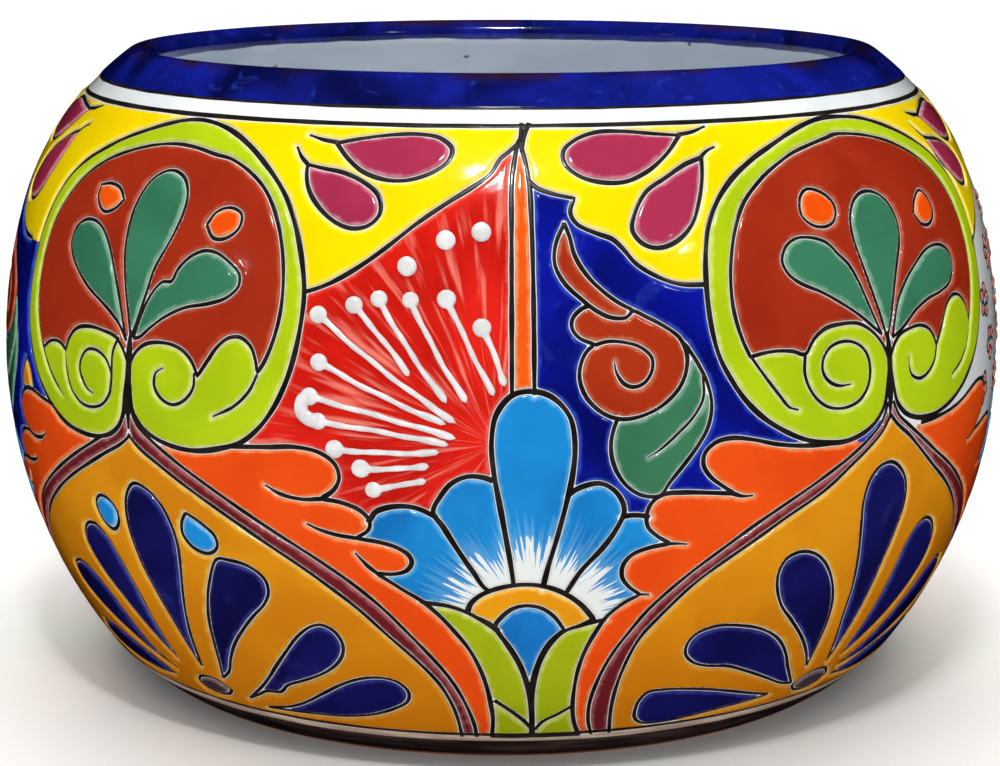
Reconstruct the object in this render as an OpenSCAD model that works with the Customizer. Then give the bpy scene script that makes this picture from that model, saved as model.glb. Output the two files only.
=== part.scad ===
/* [Pot] */
// Widest diameter of the clay
body_d = 298; // [240:0.5:360]
// Height of the widest level above the foot
belly_z = 96; // [80:0.5:116]
// Height of the clay shoulder above the widest level
shoulder_h = 89; // [74:0.5:108]
// How far the foot's edge stands in from the widest circle
foot_in = 42.5; // [36:0.5:51]
// How far the shoulder's end stands in from the widest circle
lip_in = 38; // [32:0.5:46]
// Lean of the wall where the belly meets the heel, in degrees from upright
heel_lean = 36.5; // [30:0.5:40]
// Lean of the wall at the foot, in degrees from upright
foot_lean = 62; // [56:0.5:68]
// Lean of the wall where the belly meets the shoulder, in degrees from upright
shoulder_lean = 16; // [12:0.5:22]
// Lean of the wall at the lip, in degrees from upright
lip_lean = 54; // [48:0.5:62]
// Thickness of the clay wall
wall = 8; // [6:0.5:11]
// Thickness of the clay floor
floor_t = 10; // [8:0.5:14]
// Width of the ring of clay that the pot stands on
foot_ring_w = 16; // [10:0.5:24]
// Depth of the hollow inside that ring
foot_hollow = 2; // [1:0.5:4]

/* [Glaze] */
// Thickness of the glaze coats, inside and out
glaze_t = 0.4; // [0.3:0.05:0.8]
// Thickness of the coloured enamels on the white glaze
enamel_t = 0.6; // [0.4:0.05:1]
// Thickness of the dark outline strokes
ink_t = 0.2; // [0.1:0.05:0.3]
// Thickness of the dark wash on the foot
wash_t = 0.2; // [0.1:0.05:0.3]
// Height of the raised slip trails and dots above the enamel
slip_t = 0.9; // [0.5:0.1:1.4]
// Width of the bare gap that an outline stroke needs between two enamels
gap_w = 1.3; // [1:0.1:2]

/* [Bands] */
// Height of the bare clay edge below the foot wash
bare_edge_h = 0.6; // [0.4:0.1:1.2]
// Height of the dark wash on the foot
foot_wash_h = 8.4; // [6:0.1:12]
// Height of the cream line above the wash
cream_h = 2.2; // [1.4:0.1:3.4]
// Height of each dark stroke that goes round the pot
ring_stroke_h = 1; // [0.6:0.1:1.6]
// Height of the white band below the rim
white_band_h = 3.6; // [2.6:0.1:5]
// Length of the cobalt rim glaze outside, along the wall from the lip
rim_out = 11; // [8:0.5:15]
// Length of the cobalt rim glaze inside, along the wall from the lip
rim_in = 7; // [5:0.5:10]

/* [Pattern] */
// Turn of the whole pattern about the pot's axis, in degrees
turn = 1.3; // [-45:0.1:45]
// Angle that each medallion covers, in degrees
medallion_a = 43; // [38:0.5:46]
// Width of the lime border round each medallion
border_w = 5.5; // [4:0.1:8]
// Width of the brown ribbon over each fan
ribbon_w = 4; // [3:0.1:6]
// Width of the orange divider between two panels
divider_w = 4.6; // [3:0.1:7]

/* [Hidden] */
$fn = 96;

body_r = body_d / 2;
far = body_r + 40;

// Two tangent arcs leave the belly upright and reach a lean of joint, then end,
// over a given rise and a given run inwards. The result is [first, second] radius.
function arc_pair(run, rise, joint, end) =
  let (a = 1 - cos(joint), b = cos(joint) - cos(end),
       c = sin(joint), d = sin(end) - sin(joint),
       det = a * d - b * c)
  [(run * d - rise * b) / det, (a * rise - c * run) / det];

heel = arc_pair(foot_in, belly_z, heel_lean, foot_lean);
shoulder = arc_pair(lip_in, shoulder_h, shoulder_lean, lip_lean);

// Each arc is [centre radius, centre height, arc radius], from the foot up
arcs = [
  let (step = heel[0] - heel[1])
  [body_r - heel[0] + step * cos(heel_lean), belly_z - step * sin(heel_lean), heel[1]],
  [body_r - heel[0], belly_z, heel[0]],
  [body_r - shoulder[0], belly_z, shoulder[0]],
  let (step = shoulder[0] - shoulder[1])
  [body_r - shoulder[0] + step * cos(shoulder_lean),
   belly_z + step * sin(shoulder_lean), shoulder[1]]
];
// Lean of the wall at the upper end of each arc, with the lower half negative
ends = [-heel_lean, 0, shoulder_lean, lip_lean];
top_arc = arcs[3];

// Height of the upper end of arc i on a surface o outside the clay
function joint_z(i, o) = i < 0 ? 0 : arcs[i][1] + (arcs[i][2] + o) * sin(ends[i]);
function arc_at(z, o) =
  z < joint_z(0, o) ? 0 : z < joint_z(1, o) ? 1 : z < joint_z(2, o) ? 2 : 3;
// Radius of the clay's outside at height z
function wall_r(z) =
  let (c = arcs[arc_at(z, 0)]) c[0] + sqrt(max(0, pow(c[2], 2) - pow(z - c[1], 2)));

lip_r = wall / 2;
lip_at = [
  top_arc[0] + (top_arc[2] - lip_r) * cos(lip_lean),
  top_arc[1] + (top_arc[2] - lip_r) * sin(lip_lean)
];

// Levels of the bands that go round the pot
wash_z = bare_edge_h + foot_wash_h;
cream_z = wash_z + cream_h;
pattern_z0 = cream_z + ring_stroke_h;
rim_a = lip_lean - rim_out / top_arc[2] * 180 / PI;
rim_z = top_arc[1] + top_arc[2] * sin(rim_a);
band_z1 = rim_z - ring_stroke_h;
band_z0 = band_z1 - white_band_h;
pattern_z1 = band_z0 - ring_stroke_h;
inside_a = lip_lean - rim_in / (top_arc[2] - wall) * 180 / PI;

// Height of a share f of the painted zone, and a point of the wall there, an angle a
// round from a motif's middle
function level(f) = pattern_z0 + f * (pattern_z1 - pattern_z0);
function at(a, f) = [wall_r(level(f)) * sin(a), level(f)];
function all_at(list) = [for (p = list) at(p[0], p[1])];
function flip(list) = [for (i = [len(list) - 1:-1:0]) [-list[i][0], list[i][1]]];
function back(list) = [for (i = [len(list) - 1:-1:0]) list[i]];

// Lengths in the pattern are given for a pot this wide with a painted zone this high.
// They follow the smaller of the two.
drawn_d = 298;
drawn_h = 160;
pattern_scale = min(body_d / drawn_d, (pattern_z1 - pattern_z0) / drawn_h);
function size(mm) = mm * pattern_scale;

// A path moved sideways by d, to the left of its direction
function side(a, b) = let (v = b - a, l = norm(v)) [-v[1], v[0]] / l;
function pushed(list, d) = [
  for (i = [0:len(list) - 1])
    let (n0 = side(list[max(i - 1, 0)], list[max(i, 1)]),
         n1 = side(list[min(i, len(list) - 2)], list[min(i + 1, len(list) - 1)]),
         n = (n0 + n1) / (1 + n0 * n1))
    list[i] + n * d
];

// ---- solid layers of the wall ----

// Region inside the surface that lies o outside the clay, from the foot to the lip
module strip(r, z0, z1) polygon([[0, z0], [r, z0], [r, z1], [0, z1]]);

module inside_of(o) {
  for (i = [0:3]) {
    c = arcs[i];
    intersection() {
      union() {
        translate([c[0], c[1]]) circle(r = c[2] + o, $fn = 360);
        strip(max(c[0], 1), joint_z(i - 1, o), joint_z(i, o));
      }
      strip(far, joint_z(i - 1, o), joint_z(i, o));
    }
  }
}

// Everything past a lean a, seen from the centre of the shoulder's arc
module past(a) {
  ray = 3 * far;
  polygon([
    [top_arc[0], top_arc[1]],
    [top_arc[0] + ray * cos(a), top_arc[1] + ray * sin(a)],
    [-1, ray],
    [-1, top_arc[1]]
  ]);
}

module hollow(o) {
  intersection() {
    inside_of(-wall - o);
    translate([0, floor_t + o]) square([far, 2 * far]);
  }
}

// Section of the pot with a coat of thickness o on every face above the foot
module section(o) {
  difference() {
    inside_of(o);
    hollow(o);
    past(lip_lean);
  }
  translate(lip_at) circle(r = lip_r + o);
}

module mid_wall() translate([top_arc[0], top_arc[1]]) circle(r = top_arc[2] - lip_r);

module rim_zone() {
  difference() {
    past(rim_a);
    mid_wall();
  }
  intersection() {
    past(inside_a);
    mid_wall();
  }
  translate(lip_at) circle(r = lip_r + 1);
}

// A coat that goes round the pot from height z0 to z1, between two depths
module coat(o0, o1, z0, z1) {
  rotate_extrude()
  intersection() {
    difference() {
      inside_of(o1);
      inside_of(o0);
    }
    translate([0, z0]) square([far, z1 - z0]);
  }
}

// ---- pattern: outlines drawn flat, then stamped through a coat ----

module stamp(a)
  rotate([0, 0, a]) rotate([90, 0, 0]) linear_extrude(far) children();

// Enamel in the painted zone, where the first child is and the others are not
module enamel(lift = 0, thick = enamel_t) {
  difference() {
    intersection() {
      coat(glaze_t + lift, glaze_t + lift + thick, pattern_z0, pattern_z1);
      children(0);
    }
    if ($children > 1) children([1:$children - 1]);
  }
}

function panel(k) = turn + 90 * k;
function medallion(k) = turn + 45 + 90 * k;

// A round head that runs out to a tip. g widens it on every side. The two sides start
// at this share of the head's radius, so that they cross its round and don't just touch it.
side_share = 0.99;
module drop(head, r, tip, g = 0) {
  v = tip - head;
  reach = norm(v) + g;
  end = head + v / norm(v) * reach;
  open = acos(min(1, (r + g) / reach));
  dir = atan2(v[1], v[0]);
  root = side_share * (r + g);
  translate(head) circle(r = r + g);
  polygon([
    end,
    head + root * [cos(dir + open), sin(dir + open)],
    head + root * [cos(dir - open), sin(dir - open)]
  ]);
}

// A round head on a strip that runs back to a root. The strip is this share of the head.
finger_share = 0.92;
module finger(head, r, root) {
  v = (head - root) / norm(head - root);
  half = [-v[1], v[0]] * r * finger_share;
  translate(head) circle(r = r);
  polygon([head + half, root + half, root - half, head - half]);
}

// Oval of four tangent arcs. Its two end arcs have this share of its height as radius.
oval_end_share = 0.42;
oval_lap = 0.15; // the end circles run this far past the big arcs, so that they cross
module oval(w, h) {
  end_r = h * oval_end_share;
  run = w / 2 - end_r;
  big_r = (run * run + h * h / 4 - end_r * end_r) / (h - 2 * end_r);
  drop_c = big_r - h / 2;
  join_x = big_r * run / (big_r - end_r);
  intersection() {
    translate([0, -drop_c]) circle(r = big_r);
    translate([0, drop_c]) circle(r = big_r);
    square([2 * join_x, 2 * h], center = true);
  }
  for (s = [-1, 1]) translate([s * (run - oval_lap), 0]) circle(r = end_r + oval_lap);
}

// Medallion: its middle is at this share of the painted zone
medallion_f = [0.5, 0.985];
medallion_mid = (level(medallion_f[0]) + level(medallion_f[1])) / 2;
medallion_h = level(medallion_f[1]) - level(medallion_f[0]);
medallion_w = 2 * wall_r(medallion_mid) * sin(medallion_a / 2);

module medallion_oval(g) {
  translate([0, medallion_mid])
    oval(medallion_w + 2 * g, medallion_h + 2 * g);
}

// Each scroll is [angle, share of the zone's height, radius]
scrolls = [[-6.6, 0.615, 12], [5.6, 0.615, 11], [-15, 0.64, 8], [15, 0.65, 8]];
module scroll_heads(g) {
  for (s = scrolls) translate(at(s[0], s[1])) circle(r = size(s[2]) + g);
  polygon(all_at([[-22, 0.48], [22, 0.48], [20, 0.612], [-20, 0.612]]));
}

module field_shape() {
  difference() {
    medallion_oval(-border_w);
    scroll_heads(gap_w);
  }
}

// Each leaf is [head angle, head share, head radius, tip angle, tip share]
leaves = [[0, 0.84, 7.5, 0, 0.7], [-10.5, 0.785, 5.5, -2.2, 0.71], [11, 0.765, 5.5, 2.2, 0.7]];
module leaf_shapes(g)
  for (l = leaves) drop(at(l[0], l[1]), size(l[2]), at(l[3], l[4]), g);

dots = [[-8.6, 0.88, 3.4], [10.2, 0.855, 3.2]];
module dot_shapes(g)
  for (d = dots) translate(at(d[0], d[1])) circle(r = size(d[2]) + g);

// Right-hand edge of the fan, from the zone's foot up to the apex
fan_side = all_at([
  [36.3, -0.05], [35.6, 0.07], [34, 0.135], [31.3, 0.2], [26.5, 0.275], [18, 0.355], [8, 0.45]
]);
fan_edge = concat(fan_side, [at(0, 0.51)], flip(fan_side));
module fan_shape(g) polygon(pushed(fan_edge, -g));

module ribbon_shape() {
  intersection() {
    polygon(concat(pushed(fan_edge, -gap_w - ribbon_w), back(pushed(fan_edge, -gap_w))));
    translate([-far, pattern_z0 - 1]) square([2 * far, far]);
  }
}

fan_eye = at(0, 0.035);
// Each petal is [head angle, head share, head radius]
petals = [
  [0, 0.37, 7.5], [-11, 0.27, 7], [11, 0.27, 7],
  [-20, 0.165, 6.3], [20, 0.165, 6.3], [-25, 0.06, 4.6], [25, 0.06, 4.6]
];
module petal_shapes(g) {
  for (p = petals) {
    head = at(p[0], p[1]);
    v = (head - fan_eye) / norm(head - fan_eye);
    drop(head, size(p[2]), fan_eye + v * size(12), g);
  }
}
module eye_shape(g) translate(fan_eye) circle(r = size(3.6) + g);

module sky_shapes(g)
  for (s = [-1, 1]) drop(at(s * 8, 0.36), size(2.8), at(s * 8.6, 0.325), g);

// Orange leaf beside the ribbon, on the right of a fan
leaf_edge = all_at([
  [41.8, -0.03], [41.6, 0.07], [40.4, 0.14], [38, 0.2], [34.4, 0.255], [30, 0.31],
  [25, 0.37], [20, 0.43], [17, 0.51]
]);
// Each lobe is [angle, share, radius, inner angle, inner share]
lobes = [[26, 0.47, 6, 14, 0.44], [29.6, 0.41, 4.7, 19, 0.4], [33.2, 0.335, 4.6, 23, 0.34]];
module orange_leaf_shape(g) {
  polygon(concat([at(0, 0.5), at(0, -0.03)], pushed(leaf_edge, -g)));
  for (l = lobes) finger(at(l[0], l[1]), size(l[2]) + g, at(l[3], l[4]));
}

// What borders half s of panel k, where 0 is its right half and 1 its left
module beside(k, s) stamp(medallion(k - s)) mirror([1 - s, 0]) children();

// Daisy in the middle of a panel
daisy_at = at(1, 0.21);
daisy_heads = [[1, 0.54, 9], [-6, 0.43, 7], [8, 0.43, 7], [-10.5, 0.355, 6.5], [12.5, 0.355, 6.5]];
module daisy_shape(g)
  for (p = daisy_heads) drop(at(p[0], p[1]), size(p[2]), daisy_at, g);
module daisy_disc(r) translate(daisy_at) circle(r = size(r));
module daisy_drop_shape(g) drop(daisy_at, size(7.2), at(1.6, 0.08), g);
module above_daisy(g)
  translate([-far, daisy_at[1] - g]) square([2 * far, far]);

// Base leaf. Its upper edge can be raised by g, to cut what stands above it.
module base_leaf_shape(g = 0) {
  up = g / (pattern_z1 - pattern_z0);
  polygon(all_at([[-12, 0.28 + up], [-2, 0.3 + up], [1, 0.28 + up], [1.2, -0.02], [-8, -0.02]]));
}

divider_z0 = at(0, 0.62)[1];
divider_z1 = at(0, 0.94)[1];
module divider_shape(g) {
  polygon([
    [-divider_w / 2 - g, divider_z0], [divider_w / 2 + g, divider_z0],
    [divider_w / 2 + g, divider_z1 - size(20)], [g, divider_z1 + g],
    [-g, divider_z1 + g], [-divider_w / 2 - g, divider_z1 - size(20)]
  ]);
}

// Lower edge of the yellow swag, from the divider to the medallion
swag_edge = all_at([[0.3, 0.95], [4, 0.915], [8, 0.875], [12, 0.835], [17, 0.785], [30, 0.75]]);
module swag_shape() polygon(concat([at(44.7, 0.75), at(44.7, 1.01), at(0.3, 1.01)], swag_edge));
swag_drops = [[9.2, 0.96, 4.2, 18, 0.975], [15, 0.875, 4.4, 20.4, 0.94]];
module swag_drop_shapes(g)
  for (d = swag_drops) drop(at(d[0], d[1]), size(d[2]), at(d[3], d[4]), g);

// Half panel between the divider, the swag, the medallion and the leaves
module panel_shape() {
  polygon(concat(
    [[divider_w / 2 + gap_w, level(0.45)]],
    [[divider_w / 2 + gap_w, level(0.9)]],
    pushed([for (i = [1:len(swag_edge) - 1]) swag_edge[i]], -gap_w),
    all_at([[30, 0.44]])
  ));
}

// Scroll in a cobalt panel: a spiral's disc, a lobe and a flame
module scroll_shape(g) {
  translate(at(12.5, 0.72)) circle(r = size(10.5) + g);
  translate(at(9.2, 0.8)) circle(r = size(4.5) + g);
  drop(at(10.5, 0.765), size(3.2), at(6, 0.868), g);
}
module comma_shape(g) {
  intersection() {
    translate(at(8, 0.58)) circle(r = size(22) + g);
    translate(at(20, 0.6)) circle(r = size(19) + g);
  }
}

// Raised slip on a red panel: each trail is [head angle, share, tip angle, tip share]
trails = [
  [-17.4, 0.763, -6.8, 0.614], [-14.2, 0.776, -8.7, 0.704], [-11.9, 0.78, -5.6, 0.668],
  [-9.2, 0.78, -4.7, 0.664], [-6.1, 0.78, -3.5, 0.682], [-16.7, 0.718, -6.4, 0.6],
  [-17.6, 0.677, -6.4, 0.587], [-17.3, 0.65, -6.8, 0.574], [-15, 0.61, -7.3, 0.556],
  [-13.3, 0.578, -8, 0.547]
];
slip_dots = [[-10.6, 0.792], [-6.9, 0.84], [-3.4, 0.862]];
module trail_shapes() {
  for (t = trails) drop(at(t[0], t[1]), size(1.3), at(t[2], t[3]));
  for (d = slip_dots) translate(at(d[0], d[1])) circle(r = size(1.5));
}

// Small flowers on the one panel half that is left white
posies = [[-7, 0.76], [-14, 0.7], [-8, 0.62], [-15, 0.56]];
module posy_petal_shapes() {
  for (p = posies, i = [0:4])
    translate(at(p[0], p[1]) + size(3.6) * [cos(72 * i + 18), sin(72 * i + 18)])
      circle(r = size(1.7));
}
module posy_eye_shapes() for (p = posies) translate(at(p[0], p[1])) circle(r = size(1.3));

all_quarters = [0:3];
white_half = 1;
red_quarters = [0, 2, 3];
sky_quarters = [1, 3];

// ---- sub-parts ----

module clay_body() {
  hollow_r = body_r - foot_in - foot_ring_w;
  color("#B5683F")
  difference() {
    rotate_extrude() section(0);
    translate([0, 0, -1]) cylinder(h = foot_hollow + 1, r = hollow_r);
  }
}

module interior_glaze() {
  color("#AEB6BC")
  rotate_extrude()
  difference() {
    intersection() {
      section(glaze_t);
      union() {
        hollow(0);
        past(lip_lean);
      }
    }
    section(0);
    rim_zone();
    translate(lip_at) circle(r = lip_r + glaze_t);
  }
}

module exterior_glaze() {
  color("#EEF0EC") coat(0, glaze_t, cream_z, rim_z);
}

module rim_glaze() {
  color("#0A1690")
  rotate_extrude()
  difference() {
    intersection() {
      section(glaze_t);
      rim_zone();
      translate([0, rim_z - 2 * rim_in]) square([far, far]);
    }
    section(0);
    translate([top_arc[0] + (top_arc[2] - lip_r) * cos(rim_a), 0]) square([far, rim_z]);
  }
}

module foot_wash() color("#2E2322") coat(0, wash_t, bare_edge_h, wash_z);
module cream_line() color("#C8B0A0") coat(0, glaze_t, wash_z, cream_z);
module foot_stroke() color("#221C20") coat(glaze_t, glaze_t + ink_t, cream_z, pattern_z0);
module shoulder_stroke() color("#221C20") coat(glaze_t, glaze_t + ink_t, pattern_z1, band_z0);
module rim_stroke() color("#221C20") coat(glaze_t, glaze_t + ink_t, band_z1, rim_z);

module lime_borders() {
  color("#A8C81A")
  for (k = all_quarters) enamel() {
    stamp(medallion(k)) difference() {
      medallion_oval(0);
      difference() {
        medallion_oval(gap_w - border_w);
        scroll_heads(0);
      }
    }
    stamp(medallion(k)) fan_shape(2 * gap_w + ribbon_w);
  }
}

module medallion_fields() {
  color("#A03018")
  for (k = all_quarters) enamel() stamp(medallion(k)) difference() {
    field_shape();
    leaf_shapes(gap_w);
    dot_shapes(gap_w);
  }
}

module green_leaves() {
  color("#3A7B5A")
  for (k = all_quarters) enamel() stamp(medallion(k)) leaf_shapes(0);
}

module orange_dots() {
  color("#E8480F")
  for (k = all_quarters) enamel() stamp(medallion(k)) dot_shapes(0);
}

module yellow_swags() {
  color("#FFE000")
  for (k = all_quarters, s = [0, 1]) enamel() {
    stamp(panel(k)) mirror([s, 0]) difference() {
      swag_shape();
      swag_drop_shapes(gap_w);
      divider_shape(gap_w);
    }
    stamp(medallion(k - s)) medallion_oval(gap_w);
  }
}

module magenta_drops() {
  color("#A8304F")
  for (k = all_quarters, s = [0, 1])
    enamel() stamp(panel(k)) mirror([s, 0]) swag_drop_shapes(0);
}

module brown_ribbons() {
  color("#6B1F28")
  for (k = all_quarters) enamel() stamp(medallion(k)) ribbon_shape();
}

module ochre_fans() {
  color("#E8A010")
  for (k = all_quarters) enamel() stamp(medallion(k)) difference() {
    fan_shape(0);
    petal_shapes(gap_w);
    eye_shape(gap_w);
    if (search(k, sky_quarters) != []) sky_shapes(gap_w);
  }
}

module cobalt_petals() {
  color("#14165A")
  for (k = all_quarters) enamel() stamp(medallion(k)) petal_shapes(0);
}

module fan_eyes() {
  color("#3A3440")
  for (k = all_quarters) enamel() stamp(medallion(k)) eye_shape(0);
}

module sky_drops() {
  color("#1C8AD8")
  for (k = sky_quarters) enamel() stamp(medallion(k)) sky_shapes(0);
}

module orange_leaves() {
  color("#E8480F")
  for (k = all_quarters, s = [0, 1]) enamel() beside(k, s) difference() {
    orange_leaf_shape(0);
    fan_shape(2 * gap_w + ribbon_w);
    medallion_oval(gap_w);
  }
}

module panel_half(k, s) {
  enamel() {
    stamp(panel(k)) difference() {
      mirror([s, 0]) panel_shape();
      daisy_shape(gap_w);
      if (s == 0) scroll_shape(gap_w);
      if (s == 0) comma_shape(gap_w);
    }
    beside(k, s) {
      medallion_oval(gap_w);
      orange_leaf_shape(gap_w);
    }
  }
}

module red_panels() {
  color("#E0261A")
  for (k = red_quarters) panel_half(k, 1);
}

module cobalt_panels() {
  color("#0A1690")
  for (k = all_quarters) panel_half(k, 0);
}

module orange_dividers() {
  color("#E8480F")
  for (k = all_quarters) enamel() {
    stamp(panel(k)) divider_shape(0);
    stamp(panel(k)) daisy_shape(gap_w);
  }
}

module terracotta_scrolls() {
  color("#A03018")
  for (k = all_quarters) enamel() stamp(panel(k)) scroll_shape(0);
}

module comma_leaves() {
  color("#3A7B5A")
  for (k = all_quarters) enamel() {
    stamp(panel(k)) comma_shape(0);
    stamp(panel(k)) scroll_shape(gap_w);
  }
}

// The parts of a panel's middle stop at the orange leaves on both sides
module between_leaves(k) {
  enamel() {
    children();
    beside(k, 0) orange_leaf_shape(gap_w);
    beside(k, 1) orange_leaf_shape(gap_w);
  }
}

module daisy_petals() {
  color("#1C8AD8")
  for (k = all_quarters) between_leaves(k) stamp(panel(k)) difference() {
    intersection() {
      daisy_shape(0);
      above_daisy(0);
    }
    daisy_disc(16);
    for (s = [0, 1]) mirror([s, 0]) base_leaf_shape(gap_w);
  }
}

module daisy_arcs() {
  color("#E8A010")
  for (k = all_quarters) between_leaves(k) stamp(panel(k)) intersection() {
    difference() {
      daisy_disc(14.4);
      daisy_disc(9.6);
    }
    above_daisy(0);
  }
}

module daisy_drops() {
  color("#1C8AD8")
  for (k = all_quarters) between_leaves(k) stamp(panel(k)) daisy_drop_shape(0);
}

module base_leaves() {
  color("#A8C81A")
  for (k = all_quarters, s = [0, 1]) between_leaves(k)
    stamp(panel(k)) mirror([s, 0]) difference() {
      base_leaf_shape();
      mirror([s, 0]) daisy_disc(16);
      mirror([s, 0]) daisy_drop_shape(gap_w);
      translate([-gap_w / 2, 0]) square([far, far]);
    }
}

module slip_trails() {
  color("#F4F2EC")
  for (k = red_quarters) enamel(enamel_t, slip_t) stamp(panel(k)) trail_shapes();
}

module posy_petals() {
  color("#8E2A28") enamel() stamp(panel(white_half)) posy_petal_shapes();
}

module posy_eyes() {
  color("#3C6FB0") enamel() stamp(panel(white_half)) posy_eye_shapes();
}

clay_body();
interior_glaze();
exterior_glaze();
rim_glaze();
foot_wash();
cream_line();
foot_stroke();
shoulder_stroke();
rim_stroke();
lime_borders();
medallion_fields();
green_leaves();
orange_dots();
yellow_swags();
magenta_drops();
brown_ribbons();
ochre_fans();
cobalt_petals();
fan_eyes();
sky_drops();
orange_leaves();
red_panels();
cobalt_panels();
orange_dividers();
terracotta_scrolls();
comma_leaves();
daisy_petals();
daisy_arcs();
daisy_drops();
base_leaves();
slip_trails();
posy_petals();
posy_eyes();
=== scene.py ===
import math
import bpy
import numpy as np
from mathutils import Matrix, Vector


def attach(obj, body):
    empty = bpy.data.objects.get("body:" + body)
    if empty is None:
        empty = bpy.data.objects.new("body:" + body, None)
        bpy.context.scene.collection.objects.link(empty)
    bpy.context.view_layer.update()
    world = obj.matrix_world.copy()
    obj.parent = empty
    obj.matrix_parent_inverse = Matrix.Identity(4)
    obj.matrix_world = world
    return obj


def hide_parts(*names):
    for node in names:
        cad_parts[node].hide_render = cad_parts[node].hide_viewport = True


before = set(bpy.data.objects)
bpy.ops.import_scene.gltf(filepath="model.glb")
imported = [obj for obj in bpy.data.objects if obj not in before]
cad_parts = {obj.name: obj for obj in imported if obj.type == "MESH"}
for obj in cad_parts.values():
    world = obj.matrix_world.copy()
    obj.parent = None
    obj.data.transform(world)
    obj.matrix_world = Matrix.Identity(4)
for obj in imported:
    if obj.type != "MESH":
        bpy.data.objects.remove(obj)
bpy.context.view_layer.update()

MM = 0.001
TURN = 2 * math.pi

# ---------------------------------------------------------------- sizes, in mm and degrees
BODY_R, BELLY_Z, SHOULDER_H = 149.0, 96.0, 89.0
FOOT_IN, LIP_IN = 42.5, 38.0
HEEL_LEAN, FOOT_LEAN, SHOULDER_LEAN, LIP_LEAN = map(math.radians, (36.5, 62, 16, 54))
WALL, FLOOR_T, FOOT_RING_W, FOOT_HOLLOW = 8.0, 10.0, 16.0, 2.0
FLOOR_CURVE = 9.0     # height of the curve between the wall and the floor inside
SKIN = 1.0            # s runs along the surface this far outside the clay
GLAZE = 0.4           # white glaze on the clay
ENAMEL = 0.56         # coloured enamel on the glaze
INK = 0.13            # dark line on the glaze
HEAVY_W = 1.4         # width of the lines round medallions and daisies
LINE_W = 1.2          # width of the other outlines
SLIM_W = 1.08         # width of the outlines of small shapes
FINE_W = 0.95         # width of the lines inside a motif
PETAL_W, SPIRAL_W, VEIN_W, TAIL_W = 1.02, 0.96, 0.76, 1.32
SEAM_W = 2.3          # width of the seam between a medallion's two scrolls
POSY_W = 0.7
HALO = 0.22           # white glaze left between a line and the enamel
SHOULDER_W = 1.0      # width of an enamel pool's rounded edge
SKIRT = 0.08          # a pool's edge goes this far down into the glaze

# Levels along the wall, from the foot
BARE_S, WASH_S, CREAM_S, PAINT_S0, PAINT_S1 = 0.5, 12.6, 15.9, 16.8, 192.7
BAND_S, RIM_S = 193.6, 198.6

SETTLE = 1.3          # the painting sits this much lower than its outlines are drawn,
SETTLE_TOP = 12.0     # less and less over the last few mm below the shoulder stroke

LOW_EDGE, TOP_EDGE = 16.5, 194   # the panels run a little past the painted band
SWAG_LOW = 150        # the swags' lower edge beside a medallion
POSY_R, PETAL_R, POSY_EYE_R = 3.3, 1.9, 1.5
POSY_PETALS = 5
POSY_FLAT = 2.5       # mm to a degree, where the posies are

CELL = 0.6            # step of the grid on which enamel pools are cut out
COLS = 1568
ROW_S = np.arange(PAINT_S0 - 0.9, PAINT_S1 + 1.0, CELL)
ROWS = len(ROW_S)


# ---------------------------------------------------------------- the wall
def arc_pair(run, rise, joint, end):
    """Radii of the two tangent arcs that cover a run and a rise."""
    a, b = 1 - math.cos(joint), math.cos(joint) - math.cos(end)
    c, d = math.sin(joint), math.sin(end) - math.sin(joint)
    det = a * d - b * c
    return (run * d - rise * b) / det, (a * rise - c * run) / det


def wall_arcs():
    """(centre radius, centre height, arc radius, lean at its start, lean at its end)."""
    big, small = arc_pair(FOOT_IN, BELLY_Z, HEEL_LEAN, FOOT_LEAN)
    step = big - small
    low = (BODY_R - big + step * math.cos(HEEL_LEAN), BELLY_Z - step * math.sin(HEEL_LEAN), small)
    arcs = [low + (-math.asin(low[1] / (small + SKIN)), -HEEL_LEAN),
            (BODY_R - big, BELLY_Z, big, -HEEL_LEAN, 0.0)]
    big, small = arc_pair(LIP_IN, SHOULDER_H, SHOULDER_LEAN, LIP_LEAN)
    step = big - small
    arcs.append((BODY_R - big, BELLY_Z, big, 0.0, SHOULDER_LEAN))
    arcs.append((BODY_R - big + step * math.cos(SHOULDER_LEAN),
                 BELLY_Z + step * math.sin(SHOULDER_LEAN), small, SHOULDER_LEAN, LIP_LEAN))
    return arcs


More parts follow.
